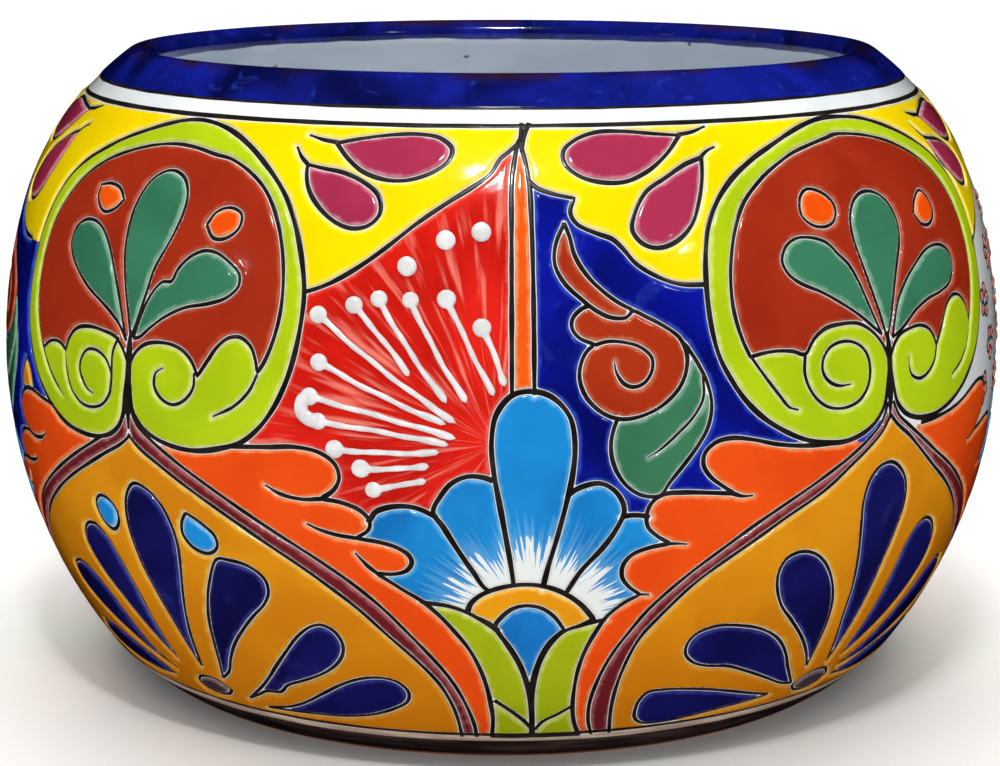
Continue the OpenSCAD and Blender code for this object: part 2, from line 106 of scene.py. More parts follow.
def wall_path():
    """Clay points and outward normals from the foot, over the lip and down to the floor."""
    points, normals = [], []

    def sweep(centre, radius, lean0, lean1, inward=1):
        count = max(8, int(abs(lean1 - lean0) * max(radius, 12) / 0.8))
        for lean in np.linspace(lean0, lean1, count):
            out = np.array((math.cos(lean), math.sin(lean)))
            points.append(np.array(centre) + radius * out)
            normals.append(inward * out)

    arcs = wall_arcs()
    for r, z, radius, lean0, lean1 in arcs:
        sweep((r, z), radius, lean0, lean1)
    top = arcs[-1]
    lip_r = WALL / 2
    lip = (top[0] + (top[2] - lip_r) * math.cos(LIP_LEAN),
           top[1] + (top[2] - lip_r) * math.sin(LIP_LEAN))
    sweep(lip, lip_r, LIP_LEAN, LIP_LEAN + math.pi)
    for r, z, radius, lean0, lean1 in reversed(arcs):
        inner = radius - WALL
        lean0 = max(lean0, -math.asin(min(1.0, (z - FLOOR_T - FLOOR_CURVE) / inner)))
        sweep((r, z), inner, lean1, lean0, -1)
    last, start = points[-1], normals[-1]
    corner = np.array((last[0] - 0.7 * FLOOR_CURVE, FLOOR_T))
    floor = np.array((last[0] - 2.4 * FLOOR_CURVE, FLOOR_T))
    for t in np.linspace(0.1, 1, 12):
        points.append((1 - t) ** 2 * last + 2 * t * (1 - t) * corner + t * t * floor)
        n = (1 - t) * start + t * np.array((0.0, 1.0))
        normals.append(n / np.linalg.norm(n))
    for r in np.linspace(floor[0] - 2, 1.0, 40):
        points.append(np.array((r, FLOOR_T)))
        normals.append(np.array((0.0, 1.0)))
    points, normals = np.array(points), np.array(normals)
    skin = points + SKIN * normals
    s = np.concatenate(([0], np.cumsum(np.linalg.norm(np.diff(skin, axis=0), axis=1))))
    keep = np.concatenate(([True], np.diff(s) > 1e-6))
    return s[keep], points[keep], normals[keep]


PATH_S, PATH_P, PATH_N = wall_path()


def along(s, column):
    """A clay point's or normal's part at s: 0 radius, 1 height, 2 normal out, 3 normal up."""
    source = (PATH_P[:, 0], PATH_P[:, 1], PATH_N[:, 0], PATH_N[:, 1])[column]
    return np.interp(s, PATH_S, source)


def place(a, s, h):
    """Points in metres at an angle a round the pot and s along the wall, h above the clay."""
    r = along(s, 0) + along(s, 2) * h
    z = along(s, 1) + along(s, 3) * h
    a, r, z = np.broadcast_arrays(a, r, z)
    return np.stack((r * np.sin(a), -r * np.cos(a), z), axis=-1) * MM


CREST_S = float(PATH_S[np.argmax(PATH_P[:, 1] + PATH_N[:, 1])])
FLOOR_S = float(PATH_S[-1])


# ---------------------------------------------------------------- hand-drawn waver
def waver(a, seed, size, turns=(3, 5, 8, 13, 21, 34, 55)):
    """A closed, hand-like waver of a line that goes round the pot."""
    rng = np.random.default_rng(seed)
    total = sum(np.sin(n * a + rng.uniform(0, TURN)) * rng.uniform(0.4, 1) / n ** 0.4 for n in turns)
    return size * total / 2


def swell(p, seed, size, period=0.03):
    """A soft rise and fall over points p in space, in the same unit as size."""
    rng = np.random.default_rng(seed)
    total = 0.0
    for octave in (1.0, 0.55, 0.3):
        way = rng.normal(size=3)
        way /= np.linalg.norm(way)
        total = total + octave * np.sin(p @ way * TURN / (period * octave) + rng.uniform(0, TURN))
    return size * total / 2


# ---------------------------------------------------------------- meshes
def add_mesh(name, points, faces):
    mesh = bpy.data.meshes.new(name)
    mesh.from_pydata(np.asarray(points, float).tolist(), [], faces)
    mesh.validate()
    mesh.update()
    mesh.shade_smooth()
    piece = bpy.data.objects.new(name, mesh)
    bpy.context.scene.collection.objects.link(piece)
    return piece


def ring_faces(rows, cols):
    faces = []
    for j in range(rows - 1):
        for i in range(cols):
            k = (i + 1) % cols
            faces.append((j * cols + i, j * cols + k, (j + 1) * cols + k, (j + 1) * cols + i))
    return faces


def band(name, s0, s1, base, thick, seed, waver0, waver1, step=2.0, edge=0.5, cols=900):
    """A coat round the pot between two hand-drawn edges, rounded at both."""
    a = np.linspace(0, TURN, cols, endpoint=False)
    low = s0 + waver(a, seed, waver0)
    high = s1 + waver(a, seed + 1, waver1)
    count = max(1, int((s1 - s0 - 2 * edge) / step))
    rows = [place(a, low, base - 0.15), place(a, low, base + 0.3 * thick),
            place(a, low + 0.35 * edge, base + 0.8 * thick)]
    for t in np.linspace(0, 1, count + 1):
        rows.append(place(a, low + edge + (high - low - 2 * edge) * t, base + thick))
    rows += [place(a, high - 0.35 * edge, base + 0.8 * thick), place(a, high, base + 0.3 * thick),
             place(a, high, base - 0.15)]
    return add_mesh(name, np.concatenate(rows), ring_faces(len(rows), cols))


def lathe(name, outline, cols=360):
    """Turns a closed outline of (radius, height) in mm. Points on the axis become one point."""
    points, rings = [], []
    a = np.linspace(0, TURN, cols, endpoint=False)
    for r, z in outline:
        rings.append((len(points), 1 if r < 0.01 else cols))
        ring = a[:1] if r < 0.01 else a
        points.extend(np.stack((r * np.sin(ring), -r * np.cos(ring), z + 0 * ring), 1) * MM)
    faces = []
    for (p, n), (q, m) in zip(rings, rings[1:]):
        for i in range(cols):
            k = (i + 1) % cols
            if n > 1 and m > 1:
                faces.append((p + i, p + k, q + k, q + i))
            elif n > 1:
                faces.append((p + i, p + k, q))
            elif m > 1:
                faces.append((p, q + k, q + i))
    return add_mesh(name, np.array(points), faces)


# ---------------------------------------------------------------- drawn lines
SHARP = math.radians(72)       # a bend over this in a drawn line is a corner
FLAT = math.radians(1) * 146   # length of a degree on the middle of the wall, in mm


def curve(points, closed, step=0.8):
    """A smooth line through (angle in degrees, s) points. Sharp bends stay sharp."""
    p = np.array(points, float) * (FLAT, 1)
    count = len(p)
    spans = count if closed else count - 1

    def turned(i):
        a, b, c = p[i - 1], p[i % count], p[(i + 1) % count]
        u, v = b - a, c - b
        cos = u @ v / (np.linalg.norm(u) * np.linalg.norm(v) + 1e-9)
        return math.acos(max(-1.0, min(1.0, cos)))

    corner = [turned(i) > SHARP or (not closed and i in (0, count - 1)) for i in range(count)]
    out = []
    for i in range(spans):
        j = (i + 1) % count
        b, c = p[i], p[j]
        a = 2 * b - c if corner[i] else p[i - 1]
        d = 2 * c - b if corner[j] else p[(j + 1) % count]
        knots = [0.0]
        for u, v in ((a, b), (b, c), (c, d)):
            knots.append(knots[-1] + max(1e-6, np.linalg.norm(v - u)) ** 0.5)
        k0, k1, k2, k3 = knots
        for t in np.linspace(k1, k2, max(2, int(np.linalg.norm(c - b) / step) + 1))[:-1]:
            a1 = (k1 - t) / (k1 - k0) * a + (t - k0) / (k1 - k0) * b
            a2 = (k2 - t) / (k2 - k1) * b + (t - k1) / (k2 - k1) * c
            a3 = (k3 - t) / (k3 - k2) * c + (t - k2) / (k3 - k2) * d
            b1 = (k2 - t) / (k2 - k0) * a1 + (t - k0) / (k2 - k0) * a2
            b2 = (k3 - t) / (k3 - k1) * a2 + (t - k1) / (k3 - k1) * a3
            out.append((k2 - t) / (k2 - k1) * b1 + (t - k1) / (k2 - k1) * b2)
    if not closed:
        out.append(p[-1])
    a, s = np.array(out).T
    s = s - SETTLE * np.clip((PAINT_S1 - s) / SETTLE_TOP, 0, 1)
    return np.stack((a / FLAT * math.radians(1), s), 1)


# ---------------------------------------------------------------- the painted design
# Every outline is a list of (angle in degrees, s in mm) along the middle of its dark line.
LEFT = {
    "axis": -41.3,
    "rim": [(-41.4, 123), (-41.8, 116), (-42.2, 110), (-43, 106.5), (-44.5, 103.8), (-47, 102.1),
            (-50, 102), (-53, 103.2), (-55.5, 106), (-57.8, 109.6), (-59.8, 114), (-61.5, 119.5),
            (-62.8, 126), (-63.5, 134), (-63.6, 142), (-63.5, 150), (-62.8, 157), (-61.8, 164),
            (-60.2, 170.5), (-58, 175.5), (-55, 180), (-51.5, 184), (-48, 187), (-45, 189.3),
            (-42, 191), (-39.5, 191.5), (-37, 191), (-34, 189.3), (-31, 186.3), (-28, 182),
            (-25.5, 177), (-23.5, 171.5), (-21.8, 164), (-20.7, 156), (-20.1, 148), (-20.2, 140),
            (-20.7, 132), (-21.5, 125), (-22.8, 118), (-24.5, 112.2), (-26.5, 108), (-29, 105.6),
            (-32, 104), (-35, 104.1), (-37.8, 105.8), (-39.7, 108.5), (-40.7, 112), (-41, 117)],
    "field": [(-41.3, 123.5), (-42.3, 127.6), (-43.6, 130.4), (-45.7, 131.4), (-48.5, 131.6), (-50.8, 130.2),
              (-52.2, 127), (-52.8, 123.6), (-54.3, 125.1), (-56.4, 124.6), (-58.3, 122),
              (-59.4, 126.5), (-60.5, 133), (-61, 140), (-60.9, 149), (-60.2, 157), (-58.5, 165),
              (-56.3, 171.5), (-53, 177), (-49.5, 180.5), (-45.5, 183), (-41.5, 184.2),
              (-38, 183.8), (-34.5, 182.4), (-32, 181.5), (-29.5, 179), (-27, 175),
              (-25.3, 170.5), (-24, 165), (-23, 158), (-22.5, 150), (-22.5, 143), (-23, 136),
              (-23.9, 129.8), (-24.7, 126.4), (-25, 129.8), (-25.6, 133), (-26.8, 135),
              (-28.2, 134.6), (-29.5, 132), (-30.5, 128.5), (-31.8, 123.7), (-32.4, 126.8),
              (-33.6, 129.6), (-35.3, 131), (-37.3, 131), (-39, 130),
              (-40.3, 127.6)],
    "leaves": [
        [(-41.9, 130), (-43, 133.5), (-44.7, 136.5), (-46.5, 138.8), (-49, 141.5), (-51.5, 145),
         (-53.6, 149), (-54.6, 153), (-54.3, 156.8), (-53, 159.3), (-51, 160), (-49, 158.6),
         (-47.3, 155.3), (-45.8, 150.5), (-44.5, 145), (-43.4, 139.5), (-42.6, 134.5)],
        [(-40.8, 131), (-40, 137), (-38.9, 143), (-37.5, 146.8), (-36.2, 147.4), (-35.6, 150.5),
         (-34.3, 154), (-32.5, 156.2), (-30.8, 156), (-29, 153.8), (-27.7, 151.2), (-27.6, 148),
         (-28.9, 144.8), (-31, 142.8), (-34, 141), (-36.5, 138), (-38.5, 134.5), (-40, 131.5)],
        [(-41.2, 131), (-41.9, 137), (-43, 145), (-43.9, 153), (-44.2, 160), (-44, 167),
         (-43, 173), (-41.3, 176.2), (-39.7, 176.8), (-37.8, 175), (-36.6, 171), (-36.4, 166),
         (-37, 160), (-37.9, 155), (-38.9, 150), (-39.5, 144), (-40.2, 138)]],
    "dots": [[(-51.8, 170), (-49.8, 170.8), (-47.8, 169.8), (-46.4, 167), (-47.5, 164.2),
              (-49.3, 162.8), (-50.8, 164.4), (-51.7, 167.2)],
             [(-32.8, 163), (-31.9, 166.7), (-30.2, 168.2), (-28.6, 166.6), (-28.6, 163),
              (-30, 160), (-31.6, 159.8)]],
    "heavy": [[(-41.35, 106.5), (-41.35, 112), (-41.35, 119), (-41.3, 126), (-41.3, 133)]],
    "fine": [
        [(-43.1, 130.6), (-43.9, 126.5), (-44, 119), (-44.3, 115), (-45.6, 111.5), (-47.8, 109.9),
         (-49.8, 110.6), (-51.4, 113.5), (-52.3, 118), (-52.8, 123.6)],
        [(-44.2, 116), (-44, 120), (-45, 124), (-46.8, 125.8), (-48.5, 125.2), (-49.5, 122.5),
         (-49.7, 119.5), (-49, 116.5), (-48.2, 114.7), (-47.2, 113.9)],
        [(-58.2, 122), (-56.8, 117.8), (-55, 113.8), (-53, 110.6)],
        [(-32.2, 124.5), (-32.3, 120.5), (-33.4, 117), (-35, 115.3), (-36.7, 116.8),
         (-37.5, 119.8), (-37.3, 123), (-36.3, 124.6)],
        [(-24.7, 126), (-25.6, 121.5), (-27.3, 117.2), (-29.8, 113.8)]],
    "ribbons": [[(-41.5, 105), (-40, 102), (-37, 98), (-34, 94), (-30, 88.7), (-27, 84.5),
                 (-24, 80), (-21, 75.3), (-18, 69.8), (-15, 63.3), (-12.2, 55.5), (-9.4, 47.5),
                 (-7.2, 39.5), (-6, 32), (-5.4, 25), (-5.1, 16.5)],
                [(-3.2, 16.5), (-3.4, 22), (-4, 29), (-4.9, 36), (-6.2, 43), (-8, 50),
                 (-10, 56.8), (-12.5, 64.5), (-15.5, 71.5), (-19, 77.8), (-23, 83.8),
                 (-27, 89.5), (-31, 95), (-35, 100.3), (-38.3, 105), (-40, 108), (-41, 112)]],
    "leaf": [(-30, 106), (-26.5, 106.8), (-23.5, 107.5), (-20.5, 108.2), (-18, 107.3),
             (-16.4, 104.5), (-16, 101), (-16.6, 97.7), (-18, 95), (-15.9, 94.4), (-14, 92.6),
             (-13.1, 90), (-13.2, 87.5), (-14.6, 84.8), (-12, 84), (-10.5, 82.9), (-9.3, 80.9),
             (-9, 78.8), (-9.6, 76.3), (-11, 75.1), (-12.8, 75.1), (-11.3, 72.6), (-9.8, 70),
             (-8.2, 67.3), (-6.5, 63), (-5, 58), (-3.5, 52), (-2.4, 45), (-1.7, 38), (-1.3, 31),
             (-1.1, 25), (-1.3, 16.5)],
    "leaf_under": [(-4, 16.5), (-5, 32), (-9, 48), (-15, 64), (-24, 80), (-34, 95), (-38, 103)],
    "notches": [[(-17.9, 95), (-20, 94.4), (-22.4, 95.3), (-24, 97.3)],
                [(-14.5, 84.8), (-16.5, 85.3), (-18.5, 86.5), (-19.7, 87.8)],
                [(-12.6, 75), (-13.5, 76.8), (-14.2, 78.8), (-14.8, 80.6)]],
    "eye": [(-42.5, 24.6), (-41.6, 27), (-39.5, 28.2), (-37.6, 27), (-36.6, 24.6), (-37.6, 22.3),
            (-39.6, 21.3), (-41.6, 22.2)],
    "petals": [
        [(-39.8, 32.5), (-40.5, 44), (-41.5, 55), (-42.8, 66), (-43.5, 78), (-42.9, 87),
         (-41.3, 91.4), (-39, 90), (-37.5, 86.5), (-36.5, 81), (-36.2, 75), (-36.7, 67),
         (-37.6, 58), (-38.4, 50), (-39, 43), (-39.4, 37)],
        [(-36.9, 29.5), (-36, 36), (-35.3, 44), (-34.7, 52), (-33.9, 59), (-32.8, 66), (-31, 73.8),
         (-29.5, 74), (-27.6, 73.5), (-26.1, 71.6), (-25.3, 69), (-25.3, 65.5), (-26.2, 61.5),
         (-28, 57), (-30, 51.5), (-32, 45.5), (-33.7, 39), (-35, 33.5)],
        [(-34, 22.8), (-31, 29), (-29, 34), (-27, 40), (-25, 46), (-23, 52), (-21, 56.2),
         (-19.6, 57.2), (-18.3, 55.5), (-17.6, 51.5), (-17.9, 47.5), (-19, 43.5), (-21, 39.5),
         (-24, 35.5), (-26.5, 32.5), (-28, 29), (-30.3, 28), (-32, 25.5)],
        [(-31.5, 20.3), (-28, 22.5), (-25, 26), (-22, 31), (-19, 36), (-16.5, 39), (-14, 40.2),
         (-12, 39), (-10.9, 35.5), (-11.2, 31.5), (-13, 28), (-16, 24.5), (-20, 22.3),
         (-25, 21.3)],
        [(-44, 33), (-44.8, 45), (-45.5, 56), (-46.8, 66), (-48.2, 72), (-50.5, 75),
         (-52.6, 73), (-53.4, 68), (-52, 60), (-49.5, 52), (-47, 43)],
        [(-46, 27.5), (-49, 34), (-50.8, 43), (-53, 52), (-56, 57.5), (-58.8, 58), (-61, 55),
         (-60.8, 50), (-58, 44), (-54, 38), (-50, 32.5)],
        [(-47.5, 24), (-52, 30), (-57, 34.5), (-61.5, 35), (-64, 31), (-62, 26), (-58, 23.5),
         (-53, 22.5)]],
    "sky": [[(-48.8, 82), (-47.8, 84.8), (-46, 84.2), (-45, 81.5), (-45.2, 78), (-46.5, 75.3),
             (-48, 77)],
            [(-34.2, 86), (-32.5, 84), (-30.8, 80.7), (-30.7, 77.5), (-32, 75), (-34, 76),
             (-35.1, 79.5), (-34.9, 83.3)]],
}
RIGHT = {
    "axis": 43.65,
    "rim": [(43.6, 124), (43.2, 118), (42.7, 112.5), (41.4, 108.5), (39.5, 106), (37, 104.8),
            (34.5, 105.3), (31.5, 107.3), (29, 110.3), (26.5, 114.5), (24.5, 119.5), (23, 125),
            (21.8, 131), (21.2, 137), (20.9, 144), (20.9, 151), (21.2, 158), (22, 165),
            (23.5, 171), (26, 177), (29, 181.5), (32.5, 185), (36, 188), (39.5, 190.3),
            (43, 191.5), (46.5, 191.3), (50, 190.3), (53.5, 188), (57, 184.8), (60.5, 180.5),
            (63.3, 175), (65.3, 168), (66.5, 160), (67, 152), (66.9, 143), (66.2, 134),
            (64.8, 126), (62.8, 119), (60, 113), (57, 109), (54, 106.8), (51, 106),
            (48.3, 106.8), (46.2, 109), (44.8, 112.5), (44.1, 118)],
    "field": [(43.6, 124), (42.7, 128.6), (41.1, 132.8), (39.2, 135.4), (36.8, 136), (34.5, 135.4),
              (32.9, 133), (31.7, 129.5), (30.3, 130.6), (28.3, 131.2), (26.7, 131),
              (25.2, 130.4), (24.4, 135), (23.7, 142), (23.6, 149), (24, 156), (25, 163.5),
              (26.6, 170), (29.5, 176), (32, 179.5), (35, 182.5), (38.5, 184.5), (42, 186),
              (43.5, 186.6), (47, 186), (50.5, 184.5), (54, 182), (57, 178.5), (60, 173),
              (62.2, 166), (63.3, 158), (63.7, 150), (63.4, 142), (62.3, 134), (61.1, 127.8),
              (60.9, 131), (60.3, 134), (59, 136.4), (57.5, 137), (56, 135.8), (54.8, 133),
              (53.8, 129.5), (52.4, 125), (51.9, 128), (50.9, 130.3), (49.3, 131.6),
              (47.3, 131.4), (45.5, 130.3), (44.4, 127.8)],
    "leaves": [
        [(42.6, 131.5), (41.3, 134), (39.5, 137.5), (37, 141.5), (34.5, 145), (32, 147.8),
         (30.6, 150.5), (30, 154), (30.7, 157.5), (32.2, 159.5), (34.3, 159.3), (36.3, 157.5),
         (37.6, 154.2), (38.9, 151), (40, 146), (41, 140), (42, 134.5)],
        [(44.3, 130), (45, 135), (46, 140), (48, 144.8), (50, 148), (52.5, 151), (54.8, 151.8),
         (57, 150.8), (58.4, 147.8), (58.2, 143.8), (57, 140.7), (54.5, 139), (51.5, 138),
         (48.8, 135.8), (46.5, 132.5)],
        [(43.4, 130), (42.6, 137), (41.7, 144), (40.9, 151), (40.3, 158), (40.6, 163.5),
         (41.8, 167.5), (43.6, 169.7), (45.7, 169.3), (47.5, 166.3), (48.3, 161.5), (48, 156),
         (47, 151), (46, 146), (45, 140), (44.2, 134.5)]],
    "dots": [[(33.7, 165.5), (34, 169.8), (35.4, 172.4), (37.7, 170.5), (38.7, 167),
              (38.1, 163.2), (36.7, 161.8), (34.8, 162.6)],
             [(52, 161.5), (53, 164.7), (55.1, 167.4), (56.4, 164.6), (56.5, 160.5),
              (55, 157.8), (53.2, 158.2)]],
    "heavy": [[(43.62, 108.5), (43.65, 114), (43.62, 120), (43.6, 126), (43.5, 132)]],
    "fine": [
        [(31.7, 129.5), (31.6, 124), (32.6, 118.7), (34.4, 115), (36.8, 113.9), (39, 115.4),
         (40.2, 119), (40.5, 123.5), (40, 127.5), (38.7, 130.3), (36.8, 131.4), (35, 130.4),
         (34, 127.6), (33.9, 124.2), (34.7, 121.5), (36, 120), (37.6, 119.9)],
        [(25.3, 130.3), (26.7, 125.3), (28.4, 119.8), (29.6, 116.3), (30.7, 115.3)],
        [(52.4, 125), (51.8, 120.8), (50.3, 118), (48.8, 117.3), (47.4, 118.8), (46.9, 121.5),
         (46.9, 124)],
        [(61.1, 127.8), (60.3, 123), (58.5, 118.5), (55.8, 115.2)]],
    "ribbons": [[(43.8, 109.5), (42.5, 105.3), (40.5, 101.6), (38, 97.6), (35, 92.6), (30, 86.2),
                 (25, 78.7), (22.3, 74.3), (20, 69.8), (17, 61.5), (15, 54.5), (14, 47.5),
                 (13.3, 38), (13.2, 30), (13.4, 24), (13.9, 16.5)],
                [(11.5, 16.5), (10.7, 23), (10.4, 30), (10.6, 36), (11.2, 43), (12.2, 50),
                 (13.5, 56), (15.3, 63), (17.5, 69), (20, 74.5), (23, 80), (26, 85), (29, 89.2),
                 (32, 93), (35, 96.7), (38, 100.5), (40.5, 104.3), (42.3, 108), (43.3, 113)]],
    "leaf": [(38, 104.8), (35, 104.9), (31, 105.7), (28, 107.1), (25.5, 108.9), (23, 110),
             (21.2, 109.2), (20.1, 106.6), (20, 103.6), (20.8, 100.3), (22, 97.8), (23.6, 95),
             (21, 95.9), (18, 96.7), (16, 96.6), (14.8, 94.7), (14.3, 91.5), (14.5, 88),
             (15.5, 85.3), (17, 82.8), (14.7, 82), (13, 80.3), (12.2, 77.5), (12.2, 74),
             (13, 71), (14.3, 68.4), (12.6, 66), (11, 62.2), (9.9, 57), (9, 51), (8.5, 45),
             (8.3, 38), (8.4, 30), (8.9, 23), (9.9, 16.5)],
    "leaf_under": [(13.5, 16.5), (12.5, 30), (13.5, 46), (16, 60), (24, 77), (33, 90), (41, 102)],
    "notches": [[(23.4, 95.1), (24.4, 94.1), (25.7, 93.9)],
                [(16.8, 82.8), (17.8, 82.6), (18.8, 82.2)],
                [(14.1, 68.4), (14.7, 68.3), (15.3, 68.1)]],
    "eye": [(40.2, 24.4), (41.3, 27.2), (43.6, 28.5), (45.9, 27.3), (46.9, 24.5), (45.8, 21.8),
            (43.5, 20.6), (41.2, 21.7)],
    "petals": [
        [(44.7, 31), (43.9, 40), (43, 49), (42.5, 60), (41.8, 70), (41, 80), (40.7, 87),
         (41.3, 92.5), (42.6, 95.6), (44.5, 96), (46.3, 93.3), (47.7, 88.5), (48.1, 82),
         (47.5, 74), (46.7, 65), (46.2, 55), (45.6, 45), (45, 36)],
        [(40.7, 32), (39.2, 38), (37, 45), (34, 53), (31.8, 59), (30.6, 65), (30.3, 70),
         (31, 73.9), (32.6, 75.2), (34.6, 74), (36.5, 70.5), (38.3, 64.5), (39.7, 57),
         (40.3, 50), (40.5, 42)],
        [(39.7, 25.5), (37.5, 27), (34, 31.5), (30, 36.5), (27, 39.8), (24, 41.3), (22, 43.5),
         (20.8, 47), (20.8, 51), (21.8, 54), (24, 55.4), (27, 54.3), (30, 51.8), (33, 47),
         (35.3, 40.5), (37, 34)],
        [(36.3, 23), (33, 25.5), (30, 28), (26, 31), (22, 33.1), (19.5, 33.8), (17.4, 33.5),
         (16.6, 30.5), (16.4, 27), (16.7, 22.8), (17.8, 20.1), (20, 19.3), (24, 20), (28, 21.3),
         (32, 22)],
        [(47.4, 32), (48.5, 42), (49.5, 52), (50.2, 62), (50.8, 68.5), (52.2, 73.2), (54, 74.5),
         (56, 72.6), (57.8, 67), (58, 61), (56.6, 53), (53.8, 44.5), (50.8, 38)],
        [(48.3, 27), (51.8, 32), (55, 38.5), (58.3, 47), (61, 53.5), (63.3, 56), (66, 54),
         (67.2, 49), (65.7, 42), (61, 35), (55, 29.5)],
        [(48.2, 23.2), (52, 25.5), (57, 29), (62, 32), (66, 33), (69, 30.5), (69.5, 25.5),
         (67, 21.8), (62, 20.5), (55, 20.8)]],
    "sky": [],
}
RIBBON_FAR_RIGHT = [[(43.7, 109.5), (45, 106.3), (47, 102.8), (50, 96.7), (53, 91), (56, 86),
                     (59, 80.8), (62, 75), (65, 68), (68, 60), (71, 50.5), (73, 41), (74, 30),
                     (74.2, 16.5)],
                    [(76.6, 16.5), (76.8, 28), (76.2, 40), (74.3, 51), (71.5, 61), (68, 70.5),
                     (65, 76.8), (62, 81.8), (59, 86.6), (56, 91), (53, 95.3), (50, 100.2),
                     (47, 105.3), (45.2, 108.7), (44.1, 113)]]
EDGE_LEFT = [(2.3, 194), (2, 189), (0.8, 186), (-0.2, 184), (-1.3, 180), (-3.4, 176),
             (-5.8, 172), (-8.8, 166.5), (-11.7, 160.3), (-14, 155.8), (-16.5, 151.7),
             (-18.5, 149.2), (-20.5, 147.5)]
EDGE_RIGHT = [(3.2, 194), (2.5, 190), (2.2, 185), (2.5, 180), (3.5, 176.6), (5.2, 174.7),
              (7.6, 173.3), (7.1, 169.5), (7.7, 166.5), (9.6, 164), (11.3, 162.3),
              (12.4, 159.5), (13.5, 156), (15.5, 152.6), (18, 150.2), (21.5, 149.6)]
DIVIDER = [(0.95, 122), (0.95, 145), (0.98, 165), (1.05, 178), (1.4, 184), (1.9, 189.5),
           (2.5, 184), (2.9, 178), (3.05, 165), (3.1, 145), (3.1, 122)]
DROPS = [
    [(-19.2, 187.4), (-17, 188.6), (-13, 190.1), (-9.5, 190.5), (-7, 189.4), (-5.6, 186.5),
     (-5.9, 183.5), (-7.5, 180.5), (-10, 178.2), (-12.5, 178), (-15, 179.7), (-17.3, 183.2)],
    [(-22, 181.4), (-20, 180.6), (-17.5, 179.6), (-15, 177.1), (-13.2, 173.6), (-12.8, 169),
     (-13.8, 165.8), (-15.5, 164.7), (-17.5, 166.1), (-19.8, 170.3), (-21.3, 175), (-21.9, 179)],
    [(21, 189.4), (18, 190.1), (14, 191.1), (11, 191), (8.5, 189.1), (6.9, 186), (6.9, 182.8),
     (8.5, 179.2), (11, 177.4), (13.5, 177.5), (16, 180), (18.8, 184.5)],
    [(22.9, 183.2), (20.5, 181.4), (18, 178.1), (15.5, 174.4), (14, 169), (13.5, 164.5),
     (14.4, 161), (16, 159.6), (18, 160.9), (20, 165), (21.3, 171), (22.3, 177.5)]]
TAILS = [[(-22.9, 189.3), (-21, 188.2), (-19, 187.6)], [(-24, 186), (-23.1, 183.4), (-22, 181.4)],
         [(24.7, 191.6), (22.7, 190.2), (20.8, 189.6)], [(25, 185.8), (23.8, 184.8), (22.8, 183.2)]]
TRAILS = [   # head, tail
    [(-18.3, 142.4), (-4.4, 116.6)], [(-14.7, 145.2), (-8.9, 128.2)],
    [(-12.2, 147), (-5.3, 121.6)], [(-9, 147), (-3.4, 121.8)], [(-5.4, 147.5), (-0.8, 123.6)],
    [(-1.9, 140.5), (0.3, 126)], [(-18, 130.5), (-5.4, 116.2)], [(-18.9, 121.6), (-4.4, 112.8)],
    [(-18, 115.4), (-5.1, 111)], [(-16.3, 108.6), (-6, 109)], [(-13.7, 104.1), (-7, 105.6)],
    [(-12.5, 98.7), (-7.3, 101.7)]]
HOOK = [(-18.9, 121.7), (-19.6, 120.5), (-19.7, 117.6), (-19, 116), (-18, 115.4)]
SLIP_DOTS = [(-9.5, 155.4), (-5.7, 162.2), (-2.1, 164.4)]
FLAME = [(6.4, 166.8), (5.4, 161), (5.3, 156), (6.2, 151.4), (7.8, 147.4), (9.3, 144.3),
         (10.8, 142.5), (12.2, 142.4), (13, 144.2), (11.6, 146.1), (10, 149.2), (8.4, 153.5),
         (7.3, 158.5), (6.9, 163)]
SCROLL = [(8.5, 145.6), (10, 143.2), (11.4, 142.3), (12.9, 144), (14.2, 142.5), (16, 139.9),
          (17.6, 136.7), (18.3, 132.5), (18.2, 128.5), (17.5, 124.3), (15.8, 120.1),
          (13.5, 117.4), (11.5, 116.9), (9.8, 118.5), (8.2, 122.4), (7.5, 127), (7.6, 131),
          (8.2, 134.2), (9, 136), (7.5, 137.7), (6.8, 140.3), (7, 143)]
SPIRAL = [(9, 135.8), (10.3, 136.6), (12, 136.2), (13.6, 134.8), (14.7, 131.9), (14.6, 128.4),
          (13.8, 125.7), (12.7, 124.9), (11.8, 125.9), (11.1, 128.7), (10.9, 131.4)]
COMMA = [(15.6, 96.4), (16.5, 99.6), (17.9, 104), (19.4, 109), (20.4, 113.5), (20.8, 119),
         (20.4, 124.5), (19.5, 129.5), (18.2, 135), (16.5, 128), (14, 121), (11.6, 118.5),
         (10.6, 112.5), (10.6, 107.5), (11.2, 103), (12.4, 98.9), (13.9, 96.6)]
VEIN = [(19.9, 127), (19.9, 121), (18.9, 116.5), (17.3, 112.5), (15.7, 109), (14.2, 106.6)]
DAISY_UNDER = [
    [(-20, 84), (-13.3, 89.5), (-12.4, 92.5), (-10.5, 94.2), (-8.5, 94.1), (-6.6, 92), (-4, 88),
     (0, 72), (-2, 66), (-9, 64), (-15, 68)],
    [(20, 80), (16, 88), (14.3, 90.9), (12, 91.3), (9, 88), (6.5, 72), (8, 62), (12, 60)]]
DAISY_SIDE = [
    [(-1.3, 71), (-3, 77), (-4.5, 83.4), (-5.8, 89.3), (-6.7, 93), (-6, 97.2), (-4.8, 101),
     (-3.2, 102.8), (-1.5, 102.3), (0, 100), (2, 84), (1.8, 72)],
    [(6.4, 69.5), (8, 76.7), (10, 82.8), (11.3, 88), (12, 93), (11.2, 97.7), (9.7, 100.4),
     (8, 100), (6.5, 97.8), (4.5, 90), (3, 80), (4, 72)]]
